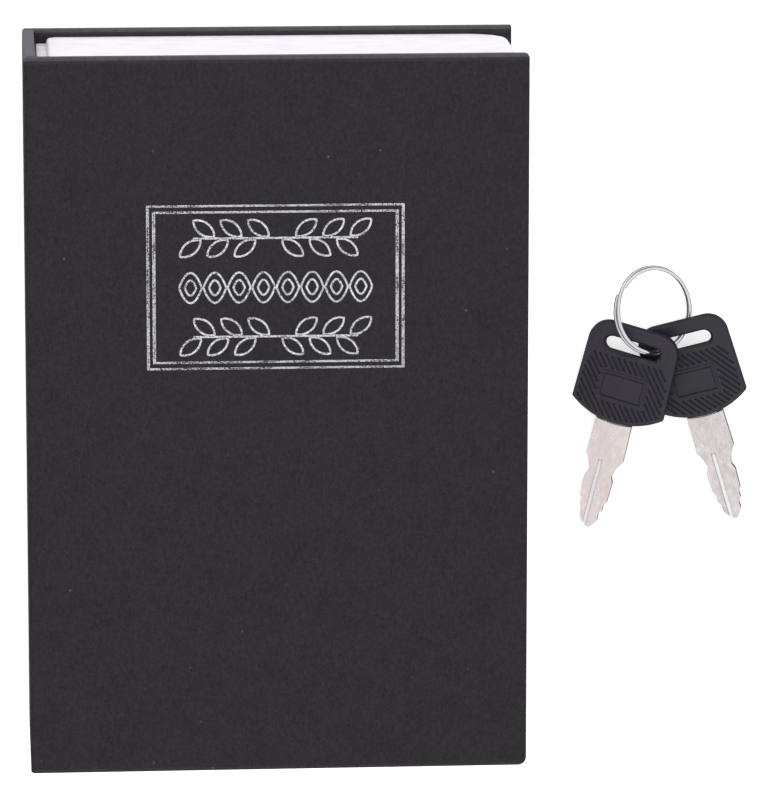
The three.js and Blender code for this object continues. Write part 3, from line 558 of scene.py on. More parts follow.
def pasted_paper(name, body, outer_z, inward, replaced):
    """Paper over the turned-in cloth, with the step of the cloth's edge showing through it."""
    rows = [
        (TURN_IN + 1, PAPER_FOOT - PAPER_SAG[0]), (TURN_IN + 0.2, PAPER_FOOT), (PAPER_MARGIN, PAPER_FOOT),
        (PAPER_MARGIN, PAPER_FACE), (TURN_IN + 0.2, PAPER_FACE), (TURN_IN + 1, PAPER_FACE - PAPER_SAG[1]),
    ]
    rings = [
        [(x, y, outer_z + inward * depth) for x, y in cover_outline(inset, inset, [0.3] * 4, 2)]
        for inset, depth in rows
    ]
    keep_piece(skin(name, rings), body, paper, replaced)


wrapped_cover(
    "front_cover_cloth", "front_cover", outer_z=THICKNESS, inward=-1, corners=(2.0, 1.1),
    joint_round=(0.1, 0.08), wear_and_light=0.38, replaced=["front_cloth"],
)
wrapped_cover(
    "back_cover_cloth", "case", outer_z=0, inward=1, corners=(1.2, 0.3),
    joint_round=(0.3, 0.5), wear_and_light=0.42, replaced=["back_cloth"],
)
pasted_paper("front_pasted_paper", "front_cover", THICKNESS, -1, ["front_endpaper"])
pasted_paper("back_pasted_paper", "case", 0, 1, ["back_endpaper"])


# Spine: a sheet of cloth over the whole thickness, turned round the spine board between the covers

def wrapped_spine():
    """The spine's cloth, from its outer face round the edges to the foot of the turned-in cloth."""
    full, between = (0, THICKNESS), BOARD_Z
    end_round, front_round, board_bend = 0.15, 0.1, 1.5
    rows = []
    for sine, cosine in quarter(6):
        depth = SHEET * (1 - cosine)
        at_back = BACK_BEND_LENGTH * (1 - math.sqrt(1 - (1 - depth / BACK_BEND_DEPTH) ** 2))
        rows.append((end_round * (1 - sine), at_back, front_round * (1 - sine), depth, full))
    rows.append((0, 0, 0, SHEET, between))
    for sine, cosine in quarter(4):
        bend = board_bend * (1 - cosine)
        rows.append((INNER_ROUND * (1 - cosine), bend, bend, COVER_DEPTH - INNER_ROUND * (1 - sine), between))
    rows += [
        (inset, inset, inset, depth, between) for inset, depth in
        ((TURN_IN, COVER_DEPTH), (TURN_IN, BOARD_BOTTOM), (CLOTH, BOARD_BOTTOM), (CLOTH, CLOTH + 0.02))
    ]
    rings = []
    for inset, at_back, at_front, depth, (z0, z1) in rows:
        corner = EDGE_ROUND if z1 == THICKNESS else 0
        outline = rounded(
            -HALF_HEIGHT + inset, HALF_HEIGHT - inset, z0 + at_back, z1 - at_front, [corner] * 4, 3)
        rings.append([(SPINE_X + depth, y, z) for y, z in outline])
    # The share of grey here is real wear together with a painted highlight on the head end
    piece = skin("spine_book_cloth", rings, {"rubbed_and_lit": lambda i: SPINE_WEAR_AND_LIGHT})
    keep_piece(piece, "spine", cloth, ["spine_cloth"])


def spine_paper():
    rings = []
    rows = ((PAPER_MARGIN, PAPER_FOOT), (PAPER_MARGIN, PAPER_FACE - 0.05), (PAPER_MARGIN + 0.1, PAPER_FACE))
    for inset, depth in rows:
        outline = rounded(
            -HALF_HEIGHT + inset, HALF_HEIGHT - inset, BOARD_Z[0] + inset, BOARD_Z[1] - inset, [0.3] * 4, 2)
        rings.append([(SPINE_X + depth, y, z) for y, z in outline])
    keep_piece(skin("spine_pasted_paper", rings), "spine", paper, ["spine_lining"])


wrapped_spine()
spine_paper()


# Geometry Nodes

def node_tree(name, numbers, counts=()):
    """A geometry tree whose inputs are the named numbers, whole counts, and the material."""
    tree = bpy.data.node_groups.new(name, "GeometryNodeTree")
    tree.interface.new_socket("Geometry", in_out="INPUT", socket_type="NodeSocketGeometry")
    tree.interface.new_socket("Geometry", in_out="OUTPUT", socket_type="NodeSocketGeometry")
    kinds = {"NodeSocketFloat": numbers, "NodeSocketInt": counts, "NodeSocketMaterial": ["Material"]}
    for kind, labels in kinds.items():
        for label in labels:
            tree.interface.new_socket(label, in_out="INPUT", socket_type=kind)
    return tree, add(tree, "NodeGroupInput")


def end_tree(tree, geometry, material):
    """Ends the tree in Realize Instances and Set Material."""
    real = add(tree, "GeometryNodeRealizeInstances", {"Geometry": geometry})[0]
    finished = add(tree, "GeometryNodeSetMaterial", {"Geometry": real, "Material": material})[0]
    add(tree, "NodeGroupOutput", {"Geometry": finished})
    return tree


def grow(name, base, tree, values, sharp=35):
    """Runs the tree on a base object and returns its result as a plain mesh object of that name."""
    modifier = base.modifiers.new("tree", "NODES")
    modifier.node_group = tree
    labels = {item.name: item.identifier for item in tree.interface.items_tree if item.in_out == "INPUT"}
    for label, value in values.items():
        modifier[labels[label]] = value
    mesh = evaluated_mesh(base)
    base.modifiers.clear()
    bpy.data.objects.remove(base)
    mesh.name = name
    return object_of(name, mesh, sharp)


def page_line_tree():
    """Pushes each page of a block in by its own share, with a groove between every two pages."""
    tree, given = node_tree("page_lines", ["Groove Depth", "Scatter"], ["Seed"])
    row = add(tree, "GeometryNodeInputNamedAttribute", {"Name": "page_row"}, data_type="FLOAT")["Attribute"]
    on_edge = add(
        tree, "FunctionNodeCompare", {0: row, 1: -0.5}, data_type="FLOAT", operation="GREATER_THAN")[0]
    number = add(tree, "FunctionNodeFloatToInt", {0: row}, rounding_mode="ROUND")[0]
    chance = add(tree, "FunctionNodeRandomValue", {
        "Min": 0.0, "Max": given["Scatter"], "ID": number, "Seed": given["Seed"],
    }, data_type="FLOAT")[1]
    odd = add(tree, MATH, [row, 2.0], operation="MODULO")[0]
    groove = add(tree, MATH, [odd, given["Groove Depth"]], operation="MULTIPLY")[0]
    depth = add(tree, MATH, [chance, groove], operation="ADD")[0]
    inwards = add(tree, MATH, [depth, -1.0], operation="MULTIPLY")[0]
    normal = add(tree, "GeometryNodeInputNormal")[0]
    level = add(tree, "ShaderNodeVectorMath", {0: normal, 1: (1, 1, 0)}, operation="MULTIPLY")[0]
    offset = add(tree, "ShaderNodeVectorMath", {0: level, "Scale": inwards}, operation="SCALE")[0]
    moved = add(tree, "GeometryNodeSetPosition", {
        "Geometry": given["Geometry"], "Selection": on_edge, "Offset": offset,
    })[0]
    return end_tree(tree, moved, given["Material"])


page_lines = page_line_tree()


def block_outline(z, wall=0.0):
    """The page block's outline at a height, its fore-edge curving in towards the back cover."""
    back = BLOCK_BACK_RADIUS - wall
    spine = max(BLOCK_SPINE_RADIUS - wall, 0.01)
    floor = BLOCK_Z0 + wall
    x0, x1 = BLOCK_X0 + wall, BLOCK_X1 - wall
    if z < floor + back:
        x1 -= back - math.sqrt(max(back ** 2 - (floor + back - z) ** 2, 0))
    if z < floor + spine:
        x0 += spine - math.sqrt(max(spine ** 2 - (floor + spine - z) ** 2, 0))
    y = BLOCK_Y - wall
    return rounded(x0, x1, -y, y, [max(BLOCK_CORNER - wall, 0.2)] * 4)


def page_block():
    """The shell, ruled as leaves with a V-groove between every two."""
    rings, rows = [], []
    pitch = LEAF + 2 * LEAF_GROOVE
    count = int((BLOCK_Z1 - BLOCK_RIM - BLOCK_Z0) / pitch)
    for i in range(count):
        low = BLOCK_Z0 + i * pitch
        for z, row in ((low, 2 * i), (low + LEAF, 2 * i), (low + LEAF + LEAF_GROOVE, 2 * i + 1)):
            rings.append([(x, y, z) for x, y in block_outline(z)])
            rows.append(float(row) if rows else -1.0)
    rows[-1] = -1.0
    for sine, cosine in quarter(3):
        z = BLOCK_Z1 - BLOCK_RIM * (1 - sine)
        rings.append([(x, y, z) for x, y in block_outline(BLOCK_Z1, BLOCK_RIM * (1 - cosine))])
    for sine, cosine in quarter(3):
        z = BLOCK_Z1 - BLOCK_RIM * (1 - cosine)
        rings.append([(x, y, z) for x, y in block_outline(BLOCK_Z1, BLOCK_WALL - BLOCK_RIM * (1 - sine))])
    floor = BLOCK_Z0 + BLOCK_WALL
    inner_radius = BLOCK_BACK_RADIUS - BLOCK_WALL
    for sine, _ in quarter(8):
        z = floor + inner_radius * (1 - sine)
        rings.append([(x, y, z) for x, y in block_outline(z, BLOCK_WALL)])
    rows += [-1.0] * (len(rings) - len(rows))
    base = skin("page_block_base", rings, {
        "page_row": lambda i: rows[i], "gap": lambda i: max(rows[i], 0) % 2,
    })
    piece = grow("page_block_shell", base, page_lines, {
        "Groove Depth": 0.09 * MM, "Scatter": 0.05 * MM, "Seed": 3, "Material": page_plastic,
    }, sharp=25)
    keep_piece(piece, "case", page_plastic, ["page_shell"])


def spine_strip():
    """The strip between page block and spine, moulded as the folded backs of page bundles."""
    count = round((BLOCK_Z1 - BLOCK_Z0) / LEAF)
    rings, rows = [], []
    for i in range(count + 1):
        z = BLOCK_Z0 + (BLOCK_Z1 - BLOCK_Z0) * i / count
        outline = rounded(STRIP_X0, BLOCK_X0 + 0.3, -STRIP_Y, STRIP_Y, [0.4] * 4, 3)
        rings.append([(x, y, z) for x, y in outline])
        rows.append(-1.0 if i in (0, count) else float(i))
    base = skin("spine_strip_base", rings, {"page_row": lambda i: rows[i]})
    piece = grow("spine_page_strip", base, page_lines, {
        "Groove Depth": 0.12 * MM, "Scatter": 0.3 * MM, "Seed": 8, "Material": strip_plastic,
    }, sharp=60)
    keep_piece(piece, "case", strip_plastic, ["spine_filler"])


page_block()
spine_strip()


# Foil: two ruled lines, and inside them an ornament of leaf sprays and lozenges

def ruled_line(name, inset, width, node):
    """One rectangular line of foil, bevelled where the die pressed it and thinner along its middle.

    inset and width are each given for the upright and for the level sides. A row of its section is a share of
    the width, a height, and whether the foil is thin there.
    """
    x0, x1 = FOIL_X[0] + inset[0], FOIL_X[1] - inset[0]
    y0, y1 = FOIL_Y[0] + inset[1], FOIL_Y[1] - inset[1]
    rows = [(0, -0.05, 0), (0, 0.4 * FOIL_RISE, 0), (0.1, FOIL_RISE, 0), (0.36, FOIL_RISE, 1)]
    rows += [(1 - share, rise, hollow) for share, rise, hollow in reversed(rows)]
    rings = []
    for share, rise, _ in rows:
        across, up = share * width[0], share * width[1]
        outline = rounded(x0 + across, x1 - across, y0 + up, y1 - up, [0] * 4, 1)
        rings.append([(x, y, THICKNESS + rise) for x, y in outline])
    piece = skin(name, rings, {"hollow": lambda i: rows[i][2]}, looped=True)
    keep_piece(piece, "front_cover", foil, [node])


ruled_line("foil_border_outer", (0, 0), (0.68, 0.48), "foil_frame_outer")
ruled_line("foil_border_inner", (1.45, 1.55), (0.74, 0.5), "foil_frame_inner")


def foil_outline(tree, given):
    """One leaf or lozenge: a circle drawn out to a length and pinched to points at both ends."""
    circle = add(
        tree, "GeometryNodeCurvePrimitiveCircle", {"Resolution": 24, "Radius": 1.0}, mode="RADIUS")[0]
    parts = add(tree, "ShaderNodeSeparateXYZ", {0: add(tree, "GeometryNodeInputPosition")[0]})
    half_length = add(tree, MATH, [given["Leaf Length"], 0.5], operation="MULTIPLY")[0]
    along = add(tree, MATH, [parts[0], half_length], operation="MULTIPLY")[0]
    loose = add(tree, MATH, [1.0, given["Hold"]], operation="SUBTRACT")[0]
    ahead = add(tree, MATH, [half_length, loose], operation="MULTIPLY")[0]
    along = add(tree, MATH, [along, ahead], operation="ADD")[0]
    away = add(tree, MATH, [parts[1]], operation="ABSOLUTE")[0]
    thin = add(tree, MATH, [away, given["Point"]], operation="POWER")[0]
    side = add(tree, MATH, [parts[1]], operation="SIGN")[0]
    across = add(tree, MATH, [side, thin], operation="MULTIPLY")[0]
    for factor in (given["Leaf Width"], 0.5):
        across = add(tree, MATH, [across, factor], operation="MULTIPLY")[0]
    shape = add(tree, "ShaderNodeCombineXYZ", {0: along, 1: across})[0]
    return add(tree, "GeometryNodeSetPosition", {"Geometry": circle, "Position": shape})[0]


def foil_row_tree():
    """Repeats a leaf or lozenge outline along a row, leaves turned to either side of a stem in turn."""
    tree, given = node_tree("foil_row", [
        "Row Length", "Leaf Length", "Leaf Width", "Side Step", "Line Width", "Rise",
        "Spread", "Point", "Hold", "Stem",
    ], ["Count"])
    half_row = add(tree, MATH, [given["Row Length"], 0.5], operation="MULTIPLY")[0]
    left = add(tree, MATH, [half_row, -1.0], operation="MULTIPLY")[0]
    start, end = (add(tree, "ShaderNodeCombineXYZ", {0: x})[0] for x in (left, half_row))
    line = add(tree, "GeometryNodeCurvePrimitiveLine", {"Start": start, "End": end}, mode="POINTS")[0]
    points = add(tree, "GeometryNodeCurveToPoints", {"Curve": line, "Count": given["Count"]}, mode="COUNT")[0]

    # Every other leaf is on the stem's other side, and all of them lean out from the middle of the row
    side = add(tree, MATH, [add(tree, "GeometryNodeInputIndex")[0], 2.0], operation="MODULO")[0]
    side = add(tree, MATH, [side, 2.0], operation="MULTIPLY")[0]
    side = add(tree, MATH, [side, 1.0], operation="SUBTRACT")[0]
    there = add(tree, "ShaderNodeSeparateXYZ", {0: add(tree, "GeometryNodeInputPosition")[0]})[0]
    outward = add(tree, MATH, [there, 1e-6], operation="ADD")[0]
    outward = add(tree, MATH, [outward], operation="SIGN")[0]
    behind = add(tree, MATH, [1.0, outward], operation="SUBTRACT")[0]
    behind = add(tree, MATH, [behind, math.pi / 2], operation="MULTIPLY")[0]
    lean = add(tree, MATH, [side, outward], operation="MULTIPLY")[0]
    lean = add(tree, MATH, [lean, given["Spread"]], operation="MULTIPLY")[0]
    turn = add(tree, MATH, [behind, lean], operation="ADD")[0]
    step = add(tree, MATH, [side, given["Side Step"]], operation="MULTIPLY")[0]
    step = add(tree, "ShaderNodeCombineXYZ", {1: step})[0]
    moved = add(tree, "GeometryNodeSetPosition", {"Geometry": points, "Offset": step})[0]
    leaves = add(tree, "GeometryNodeInstanceOnPoints", {
        "Points": moved, "Instance": foil_outline(tree, given),
        "Rotation": add(tree, "ShaderNodeCombineXYZ", {2: turn})[0],
    })[0]
    leaves = add(tree, "GeometryNodeRealizeInstances", {"Geometry": leaves})[0]
    stem_scale = add(tree, "ShaderNodeCombineXYZ", {0: given["Stem"], 1: 1.0, 2: 1.0})[0]
    stem = add(tree, "GeometryNodeTransform", {"Geometry": line, "Scale": stem_scale})[0]
    drawn = add(tree, "GeometryNodeJoinGeometry", {0: [leaves, stem]})[0]
    profile = add(tree, "GeometryNodeCurvePrimitiveQuadrilateral", {
        "Width": given["Line Width"], "Height": given["Rise"],
    })[0]
    strokes = add(tree, "GeometryNodeCurveToMesh", {
        "Curve": drawn, "Profile Curve": profile, "Fill Caps": True,
    })[0]
    return end_tree(tree, strokes, given["Material"])


foil_row = foil_row_tree()


def foil_ornament(name, y, values):
    """A row of leaves or lozenges at a height inside the border, level with its middle."""
    base = bpy.data.objects.new(name + "_base", bpy.data.meshes.new(name + "_base"))
    scene.collection.objects.link(base)
    piece = grow(name, base, foil_row, {
        "Line Width": 0.5 * MM, "Rise": 2 * FOIL_RISE * MM, "Material": foil, **values,
    })
    middle = (FOIL_X[0] + FOIL_X[1]) / 2
    piece.data.transform(Matrix.Translation((middle * MM, y * MM, THICKNESS * MM)))
    keep_piece(piece, "front_cover", foil)


for place, spray_y in SPRAY_Y.items():
    foil_ornament(f"foil_leaf_spray_{place}", spray_y, {
        "Row Length": 37 * MM, "Count": 12, "Leaf Length": 6.4 * MM, "Leaf Width": 3.1 * MM,
        "Spread": math.radians(38), "Side Step": 0.5 * MM, "Point": 1.6, "Stem": 1.1,
    })
for ring_name, share in (("outer", 1.0), ("inner", 0.5)):
    foil_ornament(f"foil_lozenge_row_{ring_name}", LOZENGE_Y, {
        "Row Length": 42 * MM, "Count": 8, "Leaf Length": 5.6 * MM * share, "Leaf Width": 7.6 * MM * share,
        "Spread": 0.0, "Side Step": 0.0, "Point": 1.9, "Hold": 1.0, "Stem": 0.001,
    })


# Steel box, lid and lock: CAD nodes whose sheet edges are softened, and turned parts made round

def soften(node, material, width):
    """Gives a CAD node its finish, and the rounding that a bent or milled edge has."""
    piece = nodes[node]
    piece.data.materials.clear()
    piece.data.materials.append(material)
    piece.data.shade_smooth()
    piece.modifiers.new("weld", "WELD").merge_threshold = 1e-6
    planar = piece.modifiers.new("planar", "DECIMATE")
    planar.decimate_type = "DISSOLVE"
    planar.angle_limit = math.radians(1)
    edge = piece.modifiers.new("edge", "BEVEL")
    edge.width = width * MM
    edge.segments = 2
    edge.limit_method = "ANGLE"
    edge.angle_limit = math.radians(32)
    piece.modifiers.new("flat faces", "WEIGHTED_NORMAL").weight = 100


SOFTENED = [
    ("steel_box", black_steel, 0.25), ("lid_plate", black_steel, 0.3), ("box_hinge_leaf", black_steel, 0.12),
    ("lid_hinge_leaf", black_steel, 0.12), ("hinge_pin", zinc, 0.15), ("lock_nut", zinc, 0.3),
    ("lock_washer", zinc, 0.1), ("lock_cam", zinc, 0.25), ("cam_washer", zinc, 0.1), ("cam_screw", zinc, 0.2),
    ("lock_catch", zinc, 0.2), ("lock_plug", chrome, 0.15), ("key_1_blade", blades["key_1"], 0.14),
    ("key_2_blade", blades["key_2"], 0.14),
]
SOFTENED += [(f"wafer_{i}", brass, 0.08) for i in range(1, 6)]
SOFTENED += [(f"{prefix}_board", board, 0.1) for prefix in ("front", "back", "spine")]
for softened in SOFTENED:
    soften(*softened)


def rivet_head(tree, given):
    """A domed head of the given radius and height, standing on its flat side."""
    drum = add(tree, "GeometryNodeMeshCylinder", {
        "Vertices": 24, "Side Segments": 6, "Radius": 1.0, "Depth": 1.0,
    }, fill_type="NGON")["Mesh"]
    parts = add(tree, "ShaderNodeSeparateXYZ", {0: add(tree, "GeometryNodeInputPosition")[0]})
    share = add(tree, MATH, [parts[2], 0.5], operation="ADD")[0]
    flank = add(tree, MATH, [share, 2.2], operation="POWER")[0]
    flank = add(tree, MATH, [flank, 0.96], operation="MULTIPLY")[0]
    flank = add(tree, MATH, [1.0, flank], operation="SUBTRACT")[0]
    flank = add(tree, MATH, [flank], operation="SQRT")[0]
    reach = add(tree, MATH, [flank, given["Head Radius"]], operation="MULTIPLY")[0]
    x, y, z = (
        add(tree, MATH, [first, second], operation="MULTIPLY")[0]
        for first, second in ((parts[0], reach), (parts[1], reach), (share, given["Head Height"]))
    )
    dome = add(tree, "ShaderNodeCombineXYZ", {0: x, 1: y, 2: z})[0]
    return add(tree, "GeometryNodeSetPosition", {"Geometry": drum, "Position": dome})[0]


def rivet_tree():
    """A domed head on a shank at every point, head along the point's axis."""
    tree, given = node_tree("rivets", ["Head Radius", "Head Height", "Shank Radius"])
    rod = add(tree, "GeometryNodeMeshCylinder", {
        "Vertices": 16, "Radius": given["Shank Radius"], "Depth": 1.0,
    }, fill_type="NGON")["Mesh"]
    rod = add(tree, "GeometryNodeTransform", {"Geometry": rod, "Translation": (0, 0, -0.5)})[0]
    points = add(tree, "GeometryNodeMeshToPoints", {"Mesh": given["Geometry"]})[0]
    axis, long = (
        add(tree, "GeometryNodeInputNamedAttribute", {"Name": name}, data_type=kind)["Attribute"]
        for name, kind in (("axis", "FLOAT_VECTOR"), ("shank", "FLOAT"))
    )
    aim = add(tree, "FunctionNodeAlignRotationToVector", {"Vector": axis}, axis="Z")[0]
    stretch = add(tree, "ShaderNodeCombineXYZ", {0: 1.0, 1: 1.0, 2: long})[0]
    shanks = add(tree, "GeometryNodeInstanceOnPoints", {
        "Points": points, "Instance": rod, "Rotation": aim, "Scale": stretch,
    })[0]
    heads = add(tree, "GeometryNodeInstanceOnPoints", {
        "Points": points, "Instance": rivet_head(tree, given), "Rotation": aim,
    })[0]
    joined = add(tree, "GeometryNodeJoinGeometry", {0: [shanks, heads]})[0]
    return end_tree(tree, joined, given["Material"])


rivets = rivet_tree()


def rivet_group(name, body, rows):
    """One mesh of rivets for a body; a row is (node, axis, shank length)."""
    mesh = bpy.data.meshes.new(name + "_base")
    places = []
    for node, axis, _ in rows:
        low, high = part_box(node)
        half_length = (high - low).dot(Vector([abs(c) for c in axis])) / 2
        places.append((low + high) / 2 + Vector(axis) * (half_length - RIVET_HEAD_HEIGHT * MM))
    mesh.from_pydata(places, [], [])
    axes = mesh.attributes.new("axis", "FLOAT_VECTOR", "POINT")
    axes.data.foreach_set("vector", [c for _, axis, _ in rows for c in axis])
    shanks = mesh.attributes.new("shank", "FLOAT", "POINT")
    shanks.data.foreach_set("value", [length * MM for _, _, length in rows])
    base = bpy.data.objects.new(name + "_base", mesh)
    scene.collection.objects.link(base)
    piece = grow(name, base, rivets, {
        "Head Radius": RIVET_HEAD_RADIUS * MM, "Head Height": RIVET_HEAD_HEIGHT * MM,
        "Shank Radius": RIVET_SHANK_RADIUS * MM, "Material": zinc,
    })
    keep_piece(piece, body, zinc, [node for node, _, _ in rows])


rivet_group(
    "box_rivets", "case",
    [(f"box_rivet_{i}", (0, 0, 1), 5.0) for i in range(1, 5)]
    + [(f"box_leaf_rivet_{i}", (1, 0, 0), 1.9) for i in range(1, 4)]
    + [(f"catch_rivet_{i}", (-1, 0, 0), 2.0) for i in range(1, 3)],
)
rivet_group("lid_rivets", "lid", [(f"lid_leaf_rivet_{i}", (0, 0, 1), 1.9) for i in range(1, 4)])


def threaded_barrel():
    """Lock barrel: rounded bezel, then a thread with two flats, with the plug's bore through it."""
    radius, flat, bore, foot = 8.0, 7.0, 5.7, 6.8
    bezel_radius, bezel_round, bezel_top, bottom = 10.0, 1.1, 50.8, 30.2
    pitch, depth, around, per_turn, fade_rate = 1.0, 0.3, 96, 6, 12
    rings = []

    def circle(r, z):
        angles = [2 * math.pi * j / around for j in range(around)]
        return [(LOCK_X + r * math.cos(angle), r * math.sin(angle), z) for angle in angles]

    def thread(z, fade):
        points = []
        for j in range(around):
            angle = 2 * math.pi * j / around
            phase = (z / pitch + j / around) % 1
            r = radius - depth * (1 - abs(2 * phase - 1)) * fade
            across = abs(math.sin(angle))
            if r * across > flat:
                r = flat / across
            points.append((LOCK_X + r * math.cos(angle), r * math.sin(angle), z))
        return points

    for r, below in ((bore, 0.15), (bore + 0.25, 0), (7.2, 0), (7.5, 0.12), (8.0, 0.12), (8.3, 0)):
        rings.append(circle(r, bezel_top - below))
    for sine, cosine in quarter(6):
        rings.append(circle(bezel_radius - bezel_round * (1 - sine), bezel_top - bezel_round * (1 - cosine)))
    rings.append(circle(bezel_radius, LID_TOP_Z + 0.1))
    rings.append(circle(bezel_radius - 0.1, LID_TOP_Z))
    rings.append(thread(LID_TOP_Z, 0))
    steps = round((LID_TOP_Z - bottom) / (pitch / per_turn))
    for i in range(1, steps):
        share = i / steps
        fade = min(1, fade_rate * share, fade_rate * (1 - share))
        rings.append(thread(LID_TOP_Z + (bottom - LID_TOP_Z) * share, fade))
    rings.append(circle(foot, bottom))
    rings.append(circle(bore, bottom))
    piece = skin("threaded_lock_barrel", rings, looped=True)
    keep_piece(piece, "lid", chrome, ["lock_barrel"])


threaded_barrel()


# Ring: two turns of flat wire, each on its own level, swapping levels where they cross

def split_ring():
    steps = 420
    half_width, half_height, corner = 0.45, 0.375, 0.21
    level_gap, radius_gap = 0.95, 0.3
    end_sizes = (0.72, 0.9, 0.97)
    section = rounded(-half_width, half_width, -half_height, half_height, [corner] * 4, 3)
    lay = Matrix.Translation(RING_CENTRE) @ (
        Matrix.Rotation(RING_HIGH_SIDE, 4, "Z") @ Matrix.Rotation(-RING_TILT, 4, "Y"))
    rings = []
    for i in range(steps + 1):
        turns = RING_TURNS * i / steps
        side = smoothstep(turns, 0.88, 1.08) - 0.5
        level, radius = side * level_gap, RING_RADIUS - side * radius_gap
        angle = RING_PHASE + 2 * math.pi * turns
        end = min(i, steps - i)
        size = end_sizes[end] if end < len(end_sizes) else 1.0
        ring = []
        for x, y in section:
            out = radius + x * size
            ring.append(tuple(lay @ Vector((out * math.cos(angle), out * math.sin(angle), level + y * size))))
        rings.append(ring)
    keep_piece(skin("two_turn_ring", rings, sharp=50), "ring", ring_steel, ["split_ring"])


split_ring()


# Key bows: a moulded plate with a slot, slanting grooves and a plain framed panel on each face

def bow_outline(steps=10):
    end = math.asin(BOW_HALF / BOW_ARC_RADIUS)
    points = []
    for side in (0, 1):
        for i in range(steps + 1):
            angle = math.pi / 2 * (side + i / steps)
            x = (BOW_HALF - BOW_TAPER - BOW_CORNER) * (1 - 2 * side) + BOW_CORNER * math.cos(angle)
            points.append((x, BOW_TOP - BOW_CORNER + BOW_CORNER * math.sin(angle)))
    for i in range(2 * steps + 1):
        angle = -math.pi / 2 - end + end * i / steps
        points.append((BOW_ARC_RADIUS * math.cos(angle), BOW_ARC_Y + BOW_ARC_RADIUS * math.sin(angle)))
    return points


def slot_outline(steps=10, radius=SLOT_RADIUS):
    points = []
    for side in (1, -1):
        for i in range(steps + 1):
            angle = math.pi * (i / steps - 0.5) + (0 if side > 0 else math.pi)
            points.append((side * SLOT_REACH + radius * math.cos(angle), radius * math.sin(angle)))
    return points


def slot_flare(face_z):
    """A tool that widens the slot's mouth at one face of the bow, with a sloping wall."""
    sign = 1 if face_z > 0 else -1
    return skin("slot_flare", [
        [(x, y, face_z + sign * rise) for x, y in slot_outline(radius=SLOT_RADIUS + wider)]
        for wider, rise in ((0.75, 0.2), (0.6, 0.0), (-0.3, -1.0))
    ])


def plate(name, outlines, half_thickness, soft_edge):
    """A flat plate with soft edges from closed outlines, the inner ones being holes."""
    curve = bpy.data.curves.new(name, "CURVE")
    curve.dimensions = "2D"
    curve.fill_mode = "BOTH"
    curve.extrude = (half_thickness - soft_edge) * MM
    curve.bevel_depth = soft_edge * MM
    curve.bevel_resolution = 2
    curve.offset = -soft_edge * MM
    for outline in outlines:
        spline = curve.splines.new("POLY")
        spline.points.add(len(outline) - 1)
        spline.points.foreach_set("co", [c for x, y in outline for c in (x * MM, y * MM, 0, 1)])
        spline.use_cyclic_u = True
    flat = bpy.data.objects.new(name, curve)
    scene.collection.objects.link(flat)
    mesh = evaluated_mesh(flat)
    bpy.data.objects.remove(flat)
    return object_of(name, mesh, merge=2e-6)


def in_field(x, y):
    """Whether a point of the bow lies in the grooved field, off the rim, the slot's collar and the panel."""
    side = BOW_HALF - BOW_TAPER * (y - BOW_BOTTOM) / (BOW_TOP - BOW_BOTTOM)
    rim = FIELD_RIM + COLLAR * smoothstep(y, *COLLAR_Y)
    past_arc = math.hypot(x, y - BOW_ARC_Y) > BOW_ARC_RADIUS - FIELD_RIM
    if abs(x) > side - rim or past_arc or y > FIELD_TOP:
        return False
    return abs(x) > PANEL_X + PANEL_GAP or not PANEL_Y[0] - PANEL_GAP < y < PANEL_Y[1] + PANEL_GAP


def groove_bars(face_z):
    """Wedge-shaped bars to cut one face's grooves with, each as long as the field allows."""
    points, faces = [], []
    along = Vector((math.cos(GROOVE_ANGLE), math.sin(GROOVE_ANGLE)))
    across = Vector((-along.y, along.x))
    middle = Vector((0, (PANEL_Y[0] + PANEL_Y[1]) / 2))
    pace, reach, shortest = 0.05, 400, 0.9
    for line in range(-14, 15):
        start = middle + across * (line * GROOVE_PITCH)
        inside = [in_field(*(start + along * (pace * step))) for step in range(-reach, reach + 1)]
        step = 0
        while step < len(inside):
            if not inside[step]:
                step += 1
                continue
            end = step
            while end < len(inside) and inside[end]:
                end += 1
            if (end - step) * pace > shortest:
                first = start + along * ((step - reach) * pace + GROOVE_HALF[0])
                last = start + along * ((end - 1 - reach) * pace - GROOVE_HALF[0])
                add_bar(points, faces, first, last, across, face_z)
            step = end
    return points, faces


def add_bar(points, faces, first, last, across, face_z):
    """One wedge: wide at the bow's face, narrow below it, with sloping ends."""
    along = (last - first).normalized()
    sign = 1 if face_z > 0 else -1
    top_half, bottom_half = GROOVE_HALF
    base = len(points)
    sections = ((top_half * 1.5, 0.2, 0.22), (top_half, 0, 0), (bottom_half, -GROOVE_DEPTH, -0.2))
    for half, rise, lead in sections:
        a, b = first - along * lead, last + along * lead
        for corner in (a - across * half, b - across * half, b + across * half, a + across * half):
            points.append((corner.x, corner.y, face_z + sign * rise))
    for level in (0, 4):
        for j in range(4):
            k = (j + 1) % 4
            faces.append((base + level + j, base + level + k, base + level + 4 + k, base + level + 4 + j))
    faces.append((base, base + 3, base + 2, base + 1))
    faces.append((base + 8, base + 9, base + 10, base + 11))


def cut(target, tool, operation):
    """Cuts or joins with another closed mesh object, which is removed."""
    change = target.modifiers.new("shape", "BOOLEAN")
    change.object = tool
    change.operation = operation
    change.solver = "MANIFOLD"
    mesh = evaluated_mesh(target)
    target.modifiers.clear()
    target.data = mesh
    bpy.data.objects.remove(tool)


def panel_line(inset, width, foot_z, top_z):
    """A rectangular line round the bow's panel, wider at its foot; a tool to add or to cut away."""
    rings = []
    for step, z in ((-0.2 * width, foot_z), (0, top_z), (width, top_z), (1.2 * width, foot_z)):
        x, y0, y1 = PANEL_X - inset - step, PANEL_Y[0] + inset + step, PANEL_Y[1] - inset - step
        rings.append([(-x, y0, z), (x, y0, z), (x, y1, z), (-x, y1, z)])
    return skin("panel_line", rings, looped=True)


